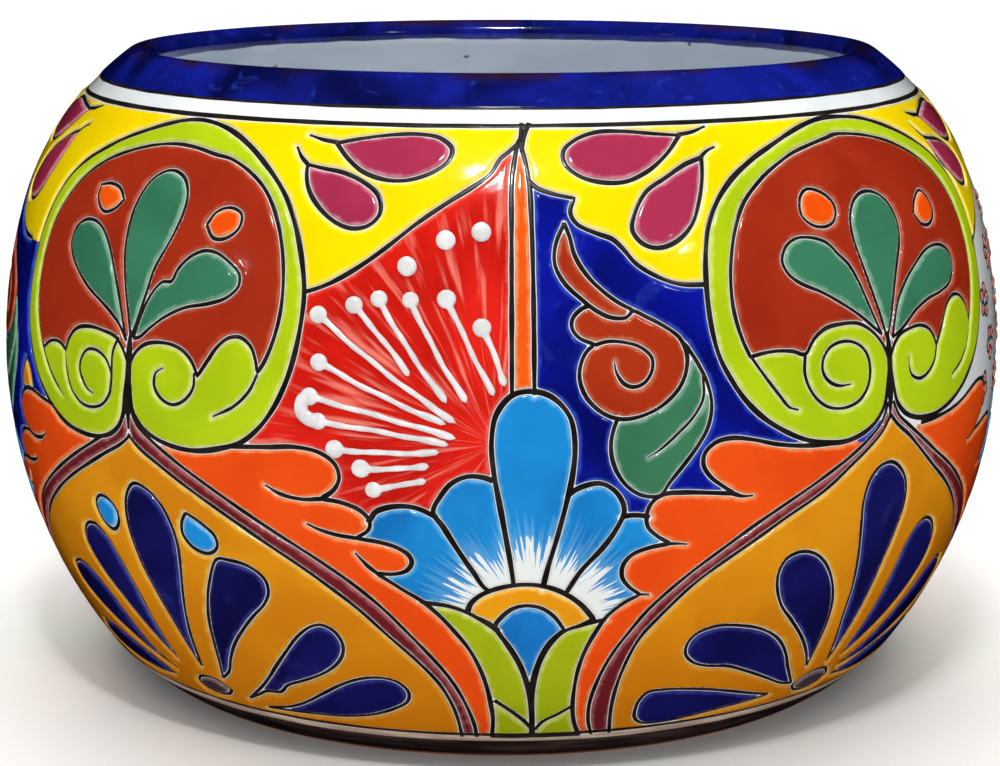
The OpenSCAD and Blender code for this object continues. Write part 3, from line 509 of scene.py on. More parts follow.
DAISY_MIDDLE = [(1.3, 70), (0.9, 78), (0.4, 86), (-0.2, 95), (-0.8, 104), (-1, 112),
                (-0.5, 119), (1, 123.6), (2.8, 124.6), (4.8, 123), (6.5, 118), (7, 111),
                (6.8, 103), (6.2, 95), (5.3, 85), (4.6, 78), (4, 70)]
ARC = [(-3.6, 64), (-3.2, 67), (-2, 69.9), (0, 72), (2.1, 72.8), (4.1, 72.3), (6, 70.4),
       (8, 66.6), (9.6, 61.5), (8.4, 59.9), (6.6, 58.4), (0, 58), (-1.4, 60.8)]
SUN_DROP = [(-0.7, 60), (0, 63), (1.1, 65.5), (2.4, 66.4), (4, 65.6), (5.4, 62.8), (6.5, 58.6),
            (5.4, 55.6), (4.4, 51), (3.7, 45), (3.25, 37), (2.8, 41), (2, 47), (0.9, 52.8),
            (-0.2, 57)]
BASE_LEFT = [(-10, 68), (-7.8, 66.9), (-5.5, 66.1), (-3.6, 64.2), (-2, 61.5), (-0.6, 58.3),
             (0.7, 53), (1.9, 46.5), (2.7, 40), (3.2, 33), (3.55, 26), (3.7, 16.5), (-7, 16.5),
             (-8, 40), (-13, 62)]
BASE_RIGHT = [(12, 61.5), (9.9, 60.7), (8.3, 59.6), (6.7, 58.1), (5.6, 55.2), (4.65, 51),
              (3.95, 45), (3.55, 38), (3.6, 30), (3.8, 23), (4, 16.5), (17, 16.5), (14, 45)]
BASE_LINES = [[(-0.9, 33.2), (1, 28.8), (2.6, 24.5), (3.8, 20)],
              [(8.5, 30.4), (6.6, 26.6), (5, 23.8), (4.1, 20)]]
SIDE_DROP = [(-63.5, 117), (-62.2, 113.5), (-61.4, 109), (-62.5, 107), (-64.5, 107),
             (-65.5, 109), (-64.8, 113.5)]
POSIES = [(-12, 143), (-17.5, 131), (-9, 130), (-15.5, 118), (-6, 118), (-19, 106), (-11, 106),
          (-4.5, 143), (-7, 156), (-3, 106)]

MEDALLIONS = [(LEFT, -41.3), (RIGHT, 43.65), (LEFT, 133.5), (RIGHT, -136.5)]
DIVIDER_AT = 2.0
# Each panel is (angle of its divider, angle of the medallion on its left, and on its right)
PANELS = [(2.0, -41.3, 43.65), (88.6, 43.65, 133.5), (178.5, 133.5, 223.5),
          (-88.9, -136.5, -41.3)]
WHITE_PANEL = 1
SPAN_LEFT, SPAN_RIGHT = DIVIDER_AT + 41.3, 43.65 - DIVIDER_AT   # of the drawn panel

# Painting order. What comes later hides what lies under it.
TIERS = ("grounds", "swags", "dividers", "magenta drops", "commas", "veins", "scrolls", "flames",
         "spirals", "side drop", "posies", "posy eyes", "low petals", "side petals",
         "middle petals", "arcs", "base leaves", "base lines", "sun drops", "orange leaves",
         "fans", "ribbons", "fan petals", "fan eyes", "borders", "fields", "field motifs",
         "scroll lines")

shapes = []       # (tier, node, outline) of filled shapes
drawn = []        # (tier, line, closed, width, taper at start, taper at end)


def cover(tier, node, *lines):
    shapes.append((TIERS.index(tier), node, np.concatenate(lines)))


def trace(tier, line, width, closed=False, taper0=False, taper1=False):
    drawn.append((TIERS.index(tier), line, closed, width, taper0, taper1))


def fill(tier, node, points, width):
    """A filled shape with its outline."""
    line = curve(points, True)
    cover(tier, node, line)
    trace(tier, line, width, True)


def stroke(tier, points, width, taper0=False, taper1=True):
    trace(tier, curve(points, False), width, False, taper0, taper1)


def draw_medallion(data, axis):
    """A medallion, with the ribbons, orange leaves and fan below it."""
    home = data["axis"]

    def at(points, mirror=False):
        return [(axis - (a - home) if mirror else axis + a - home, s) for a, s in points]

    fan_edges = []
    for mirror in (False, True):
        ribbon, flip = data["ribbons"], mirror
        if mirror and data is RIGHT:
            ribbon, flip = RIBBON_FAR_RIGHT, False
        cover("orange leaves", "orange_leaves",
              *(curve(at(data[edge], mirror), False) for edge in ("leaf", "leaf_under")))
        stroke("orange leaves", at(data["leaf"], mirror), LINE_W, taper1=False)
        for line in data["notches"]:
            stroke("orange leaves", at(line, mirror), LINE_W)
        edges = [curve(at(edge, flip), False) for edge in ribbon]
        cover("ribbons", "brown_ribbons", *edges)
        for edge in edges:
            trace("ribbons", edge, SLIM_W)
        fan_edges.append(edges[0])
    cover("fans", "ochre_fans", fan_edges[0], fan_edges[1][::-1])
    for petal in data["petals"]:
        fill("fan petals", "cobalt_petals", at(petal), PETAL_W)
    for drop in data["sky"]:
        fill("fan petals", "sky_drops", at(drop), SLIM_W)
    fill("fan eyes", "fan_eyes", at(data["eye"]), SLIM_W)
    fill("borders", "lime_borders", at(data["rim"]), HEAVY_W)
    fill("fields", "medallion_fields", at(data["field"]), SLIM_W)
    for line in data["heavy"]:
        stroke("scroll lines", at(line), SEAM_W, True)
    for line in data["fine"]:
        stroke("scroll lines", at(line), FINE_W)
    for leaf in data["leaves"]:
        fill("field motifs", "green_leaves", at(leaf), FINE_W)
    for dot in data["dots"]:
        fill("field motifs", "orange_dots", at(dot), FINE_W)


def draw_grounds(centre, left, right, white):
    """The two half panels, as boxes that everything else is painted over."""
    for side, node in ((left, "white" if white else "red_panels"), (right, "cobalt_panels")):
        box = [(centre, LOW_EDGE), (centre, TOP_EDGE), (side, TOP_EDGE), (side, LOW_EDGE)]
        cover("grounds", node, np.array(box) * (math.radians(1), 1))


def draw_daisy(at):
    for tier, outlines in (("low petals", DAISY_UNDER), ("side petals", DAISY_SIDE),
                           ("middle petals", [DAISY_MIDDLE])):
        for outline in outlines:
            fill(tier, "daisy_petals", at(outline), HEAVY_W)
    fill("arcs", "daisy_arcs", at(ARC), HEAVY_W)
    fill("sun drops", "daisy_drops", at(SUN_DROP), LINE_W)
    for outline in (BASE_LEFT, BASE_RIGHT):
        fill("base leaves", "base_leaves", at(outline), LINE_W)
    for line in BASE_LINES:
        stroke("base lines", at(line), LINE_W, taper1=False)


def small_circle(a, s, radius):
    return [(a + radius * math.cos(t) / POSY_FLAT, s + radius * math.sin(t))
            for t in np.linspace(0, TURN, 8, endpoint=False)]


def draw_posies(at):
    for spot in POSIES:
        (a, s), = at([spot])
        for n in range(POSY_PETALS):
            t = TURN * n / POSY_PETALS + spot[0]
            petal = small_circle(a + POSY_R * math.cos(t) / POSY_FLAT, s + POSY_R * math.sin(t),
                                 PETAL_R)
            fill("posies", "posy_petals", petal, POSY_W)
        fill("posy eyes", "posy_eyes", small_circle(a, s, POSY_EYE_R), POSY_W)


def draw_panel(number, centre, left, right):
    """The panel between two medallions: ground, swags, divider, scroll and daisy."""

    def at(points):
        """Stretches each half of the drawn panel to fit between its own medallions."""
        return [(panel_angle(centre, left, right, a), s) for a, s in points]

    white = number == WHITE_PANEL
    draw_grounds(centre, left, right, white)
    for edge, side in ((EDGE_LEFT, left), (EDGE_RIGHT, right)):
        line = curve(at(edge), False)
        rest = np.array([(side, SWAG_LOW), (side, TOP_EDGE)]) * (math.radians(1), 1)
        cover("swags", "yellow_swags", line, rest)
        trace("swags", line, LINE_W)
    fill("dividers", "orange_dividers", at(DIVIDER), LINE_W)
    for drop, tail in zip(DROPS, TAILS):
        fill("magenta drops", "magenta_drops", at(drop), LINE_W)
        stroke("magenta drops", at(tail), TAIL_W, True, False)
    fill("commas", "comma_leaves", at(COMMA), SLIM_W)
    fill("scrolls", "terracotta_scrolls", at(SCROLL), SLIM_W)
    fill("flames", "terracotta_scrolls", at(FLAME), SLIM_W)
    stroke("spirals", at(SPIRAL), SPIRAL_W)
    stroke("veins", at(VEIN), VEIN_W)
    draw_daisy(at)
    if white:
        draw_posies(at)


def panel_angle(centre, left, right, a):
    d = a - DIVIDER_AT
    wide = (centre - left) / SPAN_LEFT if d < 0 else (right - centre) / SPAN_RIGHT
    return centre + d * wide


for data, axis in MEDALLIONS:
    draw_medallion(data, axis)
for number, panel in enumerate(PANELS):
    draw_panel(number, *panel)
fill("side drop", "ochre_fans", SIDE_DROP, SLIM_W)
shapes.sort(key=lambda shape: shape[0])
drawn.sort(key=lambda line: line[0])


# ---------------------------------------------------------------- cutting out the pools
def fill_labels():
    """The uppermost shape at every grid point, as its place in shapes, and its tier."""
    label = np.full((ROWS, COLS), -1)
    tiers = np.full((ROWS, COLS), -1)
    for number, (tier, _, line) in enumerate(shapes):
        a, s = line[:, 0], line[:, 1]
        b, t = np.roll(a, -1), np.roll(s, -1)
        for row in np.nonzero((ROW_S >= s.min()) & (ROW_S <= s.max()))[0]:
            y = ROW_S[row]
            hit = (s <= y) != (t <= y)
            cross = np.sort(a[hit] + (y - s[hit]) / (t[hit] - s[hit]) * (b[hit] - a[hit]))
            for start, end in zip(cross[::2], cross[1::2]):
                i = np.arange(math.ceil(start / TURN * COLS), math.floor(end / TURN * COLS) + 1)
                label[row, i % COLS] = number
                tiers[row, i % COLS] = tier
    return label, tiers


def split_runs(line, closed, hidden):
    """The parts of a line that no higher shape hides, each with flags for its two real ends."""
    count = len(line)
    if not hidden.any():
        return [(np.vstack((line, line[:1])) if closed else line, True, True)]
    if closed:
        start = int(np.nonzero(hidden)[0][0])
        line, hidden = np.roll(line, -start, axis=0), np.roll(hidden, -start)
    runs, begin = [], None
    for i in range(count + 1):
        shown = i < count and not hidden[i]
        if shown and begin is None:
            begin = i
        if not shown and begin is not None:
            if i - begin > 2:
                low, high = max(0, begin - 1), min(count, i + 1)
                runs.append((line[low:high], begin == 0, i == count))
            begin = None
    return runs


def lay_lines(tiers):
    """Every visible line as (points, half widths)."""
    out = []
    for number, (tier, line, closed, width, taper0, taper1) in enumerate(drawn):
        row = np.clip(np.rint((line[:, 1] - ROW_S[0]) / CELL).astype(int), 0, ROWS - 1)
        col = np.rint(line[:, 0] / TURN * COLS).astype(int) % COLS
        for run, real0, real1 in split_runs(line, closed, tiers[row, col] > tier):
            size = along(run[:, 1], 0)
            flat = np.stack((run[:, 0] * size, run[:, 1]), 1)
            length = np.concatenate(([0], np.cumsum(np.linalg.norm(np.diff(flat, axis=0), axis=1))))
            rng = np.random.default_rng(number + 7)
            phase = rng.uniform(0, TURN, 2)
            half = width / 2 * (1 + 0.09 * np.sin(length / 5.3 + phase[0])
                                + 0.07 * np.sin(length / 2.1 + phase[1]))
            if taper0 and real0:
                half *= np.clip(length / 5, 0.3, 1) ** 0.6
            if taper1 and real1:
                half *= np.clip((length[-1] - length) / 5, 0.3, 1) ** 0.6
            out.append((run, half))
    return out


def line_distance(lines):
    """Distance in mm from every grid point to the edge of the nearest dark line."""
    reach = 4.2                              # no pool's edge is shaped further in than this
    far = np.full((ROWS, COLS), 9.0)
    for run, half in lines:
        for (a0, s0), (a1, s1), w0, w1 in zip(run[:-1], run[1:], half[:-1], half[1:]):
            size = float(along((s0 + s1) / 2, 0))
            rows = slice(max(0, int((min(s0, s1) - reach - ROW_S[0]) / CELL)),
                         min(ROWS, int((max(s0, s1) + reach - ROW_S[0]) / CELL) + 2))
            lo = math.floor((min(a0, a1) - reach / size) / TURN * COLS)
            hi = math.ceil((max(a0, a1) + reach / size) / TURN * COLS)
            cols = np.arange(lo, hi + 1)
            x = (cols / COLS * TURN - a0) * size
            y = ROW_S[rows] - s0
            if not len(y):
                continue
            dx, dy = (a1 - a0) * size, s1 - s0
            t = np.clip((x[None] * dx + y[:, None] * dy) / (dx * dx + dy * dy + 1e-12), 0, 1)
            gap = np.hypot(x[None] - t * dx, y[:, None] - t * dy) - (w0 + (w1 - w0) * t)
            take = cols % COLS
            far[rows, take] = np.minimum(far[rows, take], gap)
    edge = np.minimum(ROW_S - PAINT_S0 - 0.4, PAINT_S1 - 0.5 - ROW_S)
    return np.minimum(far, edge[:, None])


LABEL, TIER = fill_labels()
INK_LINES = lay_lines(TIER)
GAP = line_distance(INK_LINES) - HALO
NODE_AT = np.array([node for _, node, _ in shapes] + ["white"])[LABEL]
SUNS = [centre + 1.2 for centre, _, _ in PANELS]


def pool_height(depth, p, seed, thick):
    """Height of an enamel pool above the glaze, this far in from its edge."""
    t = np.clip(depth / SHOULDER_W, 0, 1)
    full = thick + swell(p, seed, 0.07)
    return 0.1 + (full - 0.1) * np.sqrt(1 - (1 - t) ** 2)


def cell_polygons(inside):
    """Cuts the grid's cells where a pool ends. Point numbers under ROWS * COLS are grid
    points, the next as many lie between columns, and the last as many between rows."""
    corners = [inside[:-1], np.roll(inside, -1, 1)[:-1], np.roll(inside, -1, 1)[1:], inside[1:]]
    code = sum(c.astype(int) << n for n, c in enumerate(corners))
    total = ROWS * COLS
    j, i = np.nonzero(code)
    k = (i + 1) % COLS
    spot = [j * COLS + i, j * COLS + k, (j + 1) * COLS + k, (j + 1) * COLS + i]
    mid = [total + j * COLS + i, 2 * total + j * COLS + k, total + (j + 1) * COLS + i,
           2 * total + j * COLS + i]
    kinds = code[j, i]
    polygons, rims = [], []
    for kind in range(1, 16):
        pick = kinds == kind
        if not pick.any():
            continue
        path, rim = [], []
        for n in range(4):
            here, there = kind >> n & 1, kind >> ((n + 1) % 4) & 1
            if here:
                path.append(spot[n][pick])
            if here != there:
                path.append(mid[n][pick])
                rim.append((len(path) - 1, bool(here)))
        polygons.append(np.stack(path, 1))
        for m, (at, leaving) in enumerate(rim):
            if leaving:
                after = path[rim[(m + 1) % len(rim)][0]]
                rims.append(np.stack((path[at], after), 1))
    return polygons, np.concatenate(rims)


def cut_points(ids, f):
    """Angle, s and depth of the numbered points of a pool whose depth is f on the grid."""
    kind, flat = ids // (ROWS * COLS), ids % (ROWS * COLS)
    row, col = flat // COLS, flat % COLS
    depth = f[row, col]
    right, up = np.roll(f, -1, axis=1)[row, col], f[np.minimum(row + 1, ROWS - 1), col]
    with np.errstate(divide="ignore", invalid="ignore"):
        share = np.nan_to_num(np.where(kind == 1, depth / (depth - right), depth / (depth - up)))
    a = (col + np.where(kind == 1, share, 0)) * TURN / COLS
    s = ROW_S[row] + np.where(kind == 2, share, 0) * CELL
    return a, s, np.where(kind == 0, depth, 0.0)


def enamel(node, seed):
    """All the pools of one colour, cut out of the grid where the colour lies."""
    f = np.where(NODE_AT == node, GAP, np.minimum(GAP, -0.25))
    polygons, rims = cell_polygons(f > 0)
    ids = np.unique(np.concatenate([p.ravel() for p in polygons]))
    a, s, depth = cut_points(ids, f)
    top = place(a, s, GLAZE + pool_height(depth, place(a, s, 0), seed, ENAMEL))
    rim_pairs = np.searchsorted(ids, rims)
    rim_ids = np.unique(rim_pairs)
    skirt = place(a[rim_ids], s[rim_ids], GLAZE - SKIRT)
    faces = []
    for p in polygons:
        faces += np.searchsorted(ids, p).tolist()
    base = len(ids) + np.searchsorted(rim_ids, rim_pairs)
    faces += np.stack((rim_pairs[:, 0], base[:, 0], base[:, 1], rim_pairs[:, 1]), 1).tolist()
    piece = add_mesh(node, np.concatenate((top, skirt)), faces)
    mark(piece, np.concatenate((a, a[rim_ids])), np.concatenate((s, s[rim_ids])),
         np.concatenate((depth, 0 * rim_ids)))
    return piece


def mark(piece, a, s, depth):
    """Gives a piece the depth into its pool, and flat coordinates about the nearest daisy."""
    mesh = piece.data
    pool = mesh.attributes.new("pool", "FLOAT", "POINT")
    pool.data.foreach_set("value", np.clip(depth / 2.6, 0, 1).astype(np.float32))
    turn = np.stack([(a - math.radians(c) + math.pi) % TURN - math.pi for c in SUNS])
    near = np.take_along_axis(turn, np.abs(turn).argmin(0)[None], 0)[0]
    flat = np.stack((near * along(s, 0), s - 60), 1) / 100
    loops = np.empty(len(mesh.loops), int)
    mesh.loops.foreach_get("vertex_index", loops)
    layer = mesh.uv_layers.new(name="sun")
    layer.data.foreach_set("uv", flat[loops].astype(np.float32).ravel())


# ---------------------------------------------------------------- raised lines
def ribbon_mesh(name, lines, section, base):
    """Lines laid on the pot. section gives (share of the half width, share of the height)."""
    points, faces = [], []
    for run, half, height in lines:
        size = along(run[:, 1], 0)
        flat = np.stack((run[:, 0] * size, run[:, 1]), 1)
        way = np.gradient(flat, axis=0)
        way /= np.linalg.norm(way, axis=1)[:, None] + 1e-9
        side = np.stack((-way[:, 1], way[:, 0]), 1)
        start, wide = len(points), len(section)
        rows = []
        for across, up in section:
            a = run[:, 0] + side[:, 0] * half * across / size
            s = run[:, 1] + side[:, 1] * half * across
            rows.append(place(a, s, base + height * up))
        points.extend(np.stack(rows, 1).reshape(-1, 3))
        for i in range(len(run) - 1):
            for j in range(wide - 1):
                p = start + i * wide + j
                faces.append((p, p + wide, p + wide + 1, p + 1))
        faces.append(tuple(range(start, start + wide)))
        end = start + (len(run) - 1) * wide
        faces.append(tuple(range(end + wide - 1, end - 1, -1)))
    return add_mesh(name, np.array(points), faces)


INK_SECTION = [(-1.05, -0.6), (-1, 0.25), (-0.6, 0.9), (0, 1), (0.6, 0.9), (1, 0.25), (1.05, -0.6)]
BEAD_SECTION = [(-1, -0.35), (-0.97, 0.2), (-0.8, 0.6), (-0.45, 0.9), (0, 1), (0.45, 0.9),
                (0.8, 0.6), (0.97, 0.2), (1, -0.35)]


def draw_ink():
    return ribbon_mesh("ink_outlines", [(run, half, INK) for run, half in INK_LINES],
                       INK_SECTION, GLAZE)


def bead(head, tail, radius, bend, seed, tip=0.7):
    """One slip trail: a round head that thins to a long tail, tip mm thick each way."""
    rng = np.random.default_rng(seed)
    head, tail = np.array(head), np.array(tail)
    gauge = np.array((FLAT, 1))
    v = (tail - head) * gauge
    length = np.linalg.norm(v)
    t = np.concatenate((np.linspace(-radius, radius * 1.6, 16), np.linspace(radius * 1.9, length, 30)))
    side = np.array((-v[1], v[0])) / length
    sway = bend * np.sin(np.clip(t / length, 0, 1) * math.pi) + 0.12 * np.sin(t / 2.3 + seed)
    p = head + (v / length * t[:, None] + side * sway[:, None]) / gauge
    ball = np.sqrt(np.clip(radius ** 2 - t ** 2, 0, None))
    left = np.clip((length - t) / length, 0, 1)
    trail = tip * (1 + 0.35 * np.exp(-((left - 0.1) / 0.1) ** 2) + 0.5 * np.exp(-t.clip(0) / 3.5))
    trail *= np.sqrt(np.clip((length - t) / 0.8, 0.02, 1)) * (1 + 0.08 * np.sin(t * 1.1 + seed))
    half = np.maximum(ball, np.where(t > 0, trail, 0.05))
    height = 0.25 + np.minimum(half, 1.1) * rng.uniform(0.62, 0.75)
    p[:, 1] -= SETTLE
    return p * (math.radians(1), 1), half, height


def round_drop(spot, radius):
    """A round drop of slip, as a short bead."""
    t = radius * np.sin(np.linspace(-math.pi / 2, math.pi / 2, 17))
    half = np.sqrt(radius ** 2 - t ** 2) + 0.03
    a = np.full(len(t), math.radians(spot[0]))
    return np.stack((a, spot[1] - SETTLE + t), 1), half, 0.2 + 1.1 * np.sqrt(half / radius)


def slip_beads():
    beads = []
    for number, panel in enumerate(PANELS):
        if number == WHITE_PANEL:
            continue

        def at(p):
            return panel_angle(*panel, p[0]), p[1]

        for n, (head, tail) in enumerate(TRAILS):
            seed = 40 * number + n
            rng = np.random.default_rng(seed)
            beads.append(bead(at(head), at(tail), rng.uniform(2.1, 2.45),
                              rng.uniform(-0.8, 0.5), seed))
        hook = curve([at(p) for p in HOOK], False, 0.5)
        beads.append((hook, np.full(len(hook), 1.9), np.full(len(hook), 1.35)))
        for n, dot in enumerate(SLIP_DOTS):
            beads.append(round_drop(at(dot), 2.5))
    return ribbon_mesh("slip_trails", beads, BEAD_SECTION, GLAZE + ENAMEL - 0.1)


# ---------------------------------------------------------------- the pot's own layers
def clay_body():
    """The clay, from the middle of the foot's recess, over the lip, to the middle of the floor."""
    outline = [(0.0, FOOT_HOLLOW)]
    foot_r = float(along(0, 0))
    ring_r = foot_r - FOOT_RING_W
    outline += [(ring_r - 1.5, FOOT_HOLLOW), (ring_r - 0.4, FOOT_HOLLOW - 0.5),
                (ring_r, 0.5), (ring_r + 0.6, 0.1), (ring_r + 1.6, 0.0),
                (foot_r - 2.2, 0.0), (foot_r - 0.9, 0.12)]
    for s in np.arange(BARE_S, FLOOR_S, 1.5):
        outline.append((float(along(s, 0)) - 0.02, float(along(s, 1))))
    outline.append((0.0, FLOOR_T))
    return lathe("clay_body", outline)


# ---------------------------------------------------------------- materials
SLOW_WAVES, ORANGE_PEEL = 42, 420      # noise scales of a glaze's relief
RELIEF_DEPTH = 0.0012                  # in metres
COAT_ROUGHNESS = 0.03


def srgb(code):
    out = [int(code[i:i + 2], 16) / 255 for i in (0, 2, 4)]
    return tuple(c / 12.92 if c <= 0.04045 else ((c + 0.055) / 1.055) ** 2.4 for c in out) + (1,)


class Look:
    """A material, with a short call for each kind of node that the looks are made of."""

    def __init__(self, name, roughness, coat=0.7):
        self.material = bpy.data.materials.new(name)
        self.material.use_nodes = True
        self.nodes, self.links = self.material.node_tree.nodes, self.material.node_tree.links
        self.shader = self.nodes["Principled BSDF"]
        self.feed(self.shader, {"Roughness": roughness, "Coat Weight": coat,
                                "Coat Roughness": COAT_ROUGHNESS})

    def feed(self, node, values):
        """Links each output given to a node's input, or sets a plain value on it."""
        for name, value in values.items():
            if isinstance(value, bpy.types.NodeSocket):
                self.links.new(value, node.inputs[name])
            else:
                node.inputs[name].default_value = value

    def colour(self, value):
        self.feed(self.shader, {"Base Color": value})

    def coords(self):
        return self.nodes.new("ShaderNodeTexCoord").outputs["Object"]

    def split(self, vector):
        node = self.nodes.new("ShaderNodeSeparateXYZ")
        self.feed(node, {"Vector": vector})
        return node.outputs

    def noise(self, scale, detail=3.0, distortion=0.0, seed=0.0, coords=None):
        node = self.nodes.new("ShaderNodeTexNoise")
        node.noise_dimensions = "4D"
        self.feed(node, {"Scale": scale, "Detail": detail, "Distortion": distortion, "W": seed,
                         "Vector": self.coords() if coords is None else coords})
        return node.outputs["Fac"]

    def ramp(self, value, low, high, smooth=True):
        """0 where value is low and 1 where it is high."""
        node = self.nodes.new("ShaderNodeMapRange")
        node.interpolation_type = "SMOOTHSTEP" if smooth else "LINEAR"
        self.feed(node, {"Value": value, "From Min": low, "From Max": high})
        return node.outputs["Result"]

    def calc(self, kind, a, b=0.0):
        node = self.nodes.new("ShaderNodeMath")
        node.operation = kind
        self.feed(node, {0: a, 1: b})
        return node.outputs["Value"]

    def times(self, a, b):
        return self.calc("MULTIPLY", a, b)

    def blend(self, factor, a, b):
        node = self.nodes.new("ShaderNodeMix")
        node.data_type = "RGBA"
        self.feed(node, {0: factor, 6: a, 7: b})
        return node.outputs[2]

    def relief(self, soft=0.35, fine=0.06, seed=0.0):
        """Slow unevenness with fine orange peel on it."""
        height = self.calc("ADD", self.times(self.noise(SLOW_WAVES, 2.0, seed=seed), soft),
                           self.times(self.noise(ORANGE_PEEL, 2.0, seed=seed + 3), fine))
        bump = self.nodes.new("ShaderNodeBump")
        self.feed(bump, {"Strength": 0.5, "Distance": RELIEF_DEPTH, "Height": height})
        self.feed(self.shader, {"Normal": bump.outputs["Normal"],
                                "Coat Normal": bump.outputs["Normal"]})

    def sun_polar(self, dx=0.0, dy=0.0):
        """Angle and distance about a point set off from the nearest daisy's middle, in dm."""
        uv = self.nodes.new("ShaderNodeUVMap")
        uv.uv_map = "sun"
        parts = self.split(uv.outputs["UV"])
        x = self.calc("SUBTRACT", parts["X"], dx)
        y = self.calc("SUBTRACT", parts["Y"], dy)
        reach = self.calc("SQRT", self.calc("ADD", self.times(x, x), self.times(y, y)))
        return self.calc("ARCTAN2", y, x), reach

    def polar_noise(self, angle, reach, around, out, detail):
        join = self.nodes.new("ShaderNodeCombineXYZ")
        self.feed(join, {"X": self.times(angle, around), "Y": self.times(reach, out)})
        return self.noise(1.0, detail, coords=join.outputs["Vector"])


def enamel_look(name, deep, full, thin, roughness=0.1, mottle=0.5, seed=0.0, scale=38):
    """Glossy enamel, and its colour: darkest where it is thickest, paler at a pool's edge."""
    look = Look(name, roughness)
    cloud = look.ramp(look.noise(scale, 4.0, 0.6, seed), 0.35, 0.68)
    body = look.blend(look.times(cloud, mottle), srgb(full), srgb(deep))
    pool = look.nodes.new("ShaderNodeAttribute")
    pool.attribute_name = "pool"
    fine = look.ramp(look.noise(330, 2.0, 0.3, seed + 5), 0.3, 0.7)
    edge = look.calc("ADD", pool.outputs["Fac"], look.times(fine, 0.22))
    colour = look.blend(look.ramp(edge, 0.0, 0.55), srgb(thin), body)
    look.colour(colour)
    look.relief(seed=seed)
    return look, colour


def plain(*words, **sizes):
    return enamel_look(*words, **sizes)[0].material


def red_look():
    """Red enamel in long brush strokes that fan out from the foot of the slip trails."""
    look, colour = enamel_look("red_enamel", "B4120A", "DC2014", "F0685A", 0.1, 0.9, 3.0)
    angle, reach = look.sun_polar(-0.1, 0.5)
    streak = look.ramp(look.polar_noise(angle, reach, 17, 4, 3.0), 0.5, 0.68)
    patch = look.ramp(look.noise(30, 3.0, 0.6, 9.0), 0.34, 0.57)
    look.colour(look.blend(look.times(look.times(streak, patch), 0.75), colour, srgb("F28A78")))
    return look.material


def daisy_look():
    """Sky blue petals with white strokes feathered outwards from the middle."""
    look, colour = enamel_look("sky_petals", "1066B0", "1A88D0", "62B0E4", 0.1, 0.8, 11.0)
    angle, reach = look.sun_polar()
    comb = look.ramp(look.polar_noise(angle, reach, 30, 6, 1.0), 0.34, 0.66, False)
    feather_end = look.calc("ADD", look.times(comb, 0.1), 0.16)
    inner = look.calc("SUBTRACT", feather_end, reach)
    haze = look.times(look.ramp(inner, -0.1, 0.0), 0.28)
    colour = look.blend(haze, colour, srgb("8CC8EE"))
    look.colour(look.blend(look.ramp(inner, -0.002, 0.006), colour, srgb("E6EAE8")))
    return look.material


def ochre_look():
    """Ochre enamel with painted shade that darkens it towards the foot, and a few brown specks."""
    look, colour = enamel_look("ochre_enamel", "CC7A0C", "DF920F", "EFBE4E", 0.1, 0.75, 21.0)
    # painted shade: the ochre is blended towards a darker brown lower down the pot, where less light from
    # above falls
    low = look.ramp(look.split(look.coords())["Z"], 0.075, 0.012)
    colour = look.blend(look.times(low, 0.5), colour, srgb("BE660C"))
    specks = look.ramp(look.noise(120, 1.0, 0.4, 4.0), 0.76, 0.82)
    look.colour(look.blend(look.times(specks, 0.6), colour, srgb("6E3A10")))
    return look.material


def cobalt_look(name, deep, full, thin, mottle, seed):
    """Cobalt: nearly black where it pooled, violet blue where it was brushed thin."""
    look, colour = enamel_look(name, deep, full, thin, 0.09, mottle, seed, 30)
    brush = look.ramp(look.noise(85, 3.0, 1.2, seed + 2), 0.56, 0.8)
    look.colour(look.blend(look.times(brush, 0.35), colour, srgb(thin)))
    return look.material


def cloudy_look(name, roughness, coat, cloud, low, high, dark, light, relief):
    """One colour clouded with another. cloud is the noise's scale, detail and distortion."""
    look = Look(name, roughness, coat)
    colour = look.blend(look.ramp(look.noise(*cloud), low, high), srgb(dark), srgb(light))
    look.colour(colour)
    look.relief(*relief)
    return look, colour


def glaze_look(name, light, shade, speck, roughness, amount, seed):
    """Tin glaze with soft clouding and a scatter of small specks."""
    look, colour = cloudy_look(name, roughness, 0.7, (24, 4.0, 0.5, seed), 0.3, 0.7, shade, light,
                               (0.4, 0.08, seed))
    spots = look.nodes.new("ShaderNodeTexVoronoi")
    look.feed(spots, {"Scale": 95, "Vector": look.coords()})
    pick = look.ramp(look.noise(60, 1.0, seed=seed + 8), 0.62, 0.64)
    near = look.ramp(spots.outputs["Distance"], 0.11, 0.05)
    look.colour(look.blend(look.times(look.times(near, pick), amount), colour, srgb(speck)))
    return look.material


def rim_look():
    """Cobalt rim: streaked, and brown on the crest of the lip, partly glaze worn thin and partly a painted
    warm reflection.
    """
    look, colour = cloudy_look("cobalt_glaze", 0.14, 0.6, (34, 4.0, 0.8, 2.0), 0.35, 0.7,
                               "060A40", "101C8C", (0.35, 0.08, 5.0))
    brush = look.ramp(look.noise(120, 3.0, 1.4, 6.0), 0.58, 0.78)
    colour = look.blend(look.times(brush, 0.4), colour, srgb("2C45C8"))
    # brown on the crest: partly worn thin glaze, partly a painted warm reflection
    crest = look.ramp(look.split(look.coords())["Z"], 0.1838, 0.1860)
    wear_and_warm_reflection = look.ramp(look.noise(46, 4.0, 0.7, 31.0), 0.42, 0.62)
    look.colour(look.blend(look.times(look.times(crest, wear_and_warm_reflection), 0.85), colour, srgb("2A1512")))
    return look.material


def clay_look():
    look, colour = cloudy_look("bisque_clay", 0.82, 0.0, (40, 5.0, 0.4), 0.3, 0.7,
                               "A4562F", "C27A50", (0.3, 0.6, 60.0))
    grain = look.ramp(look.noise(900, 3.0), 0.35, 0.7)
    look.colour(look.blend(look.times(grain, 0.3), colour, srgb("D8A27C")))
    return look.material


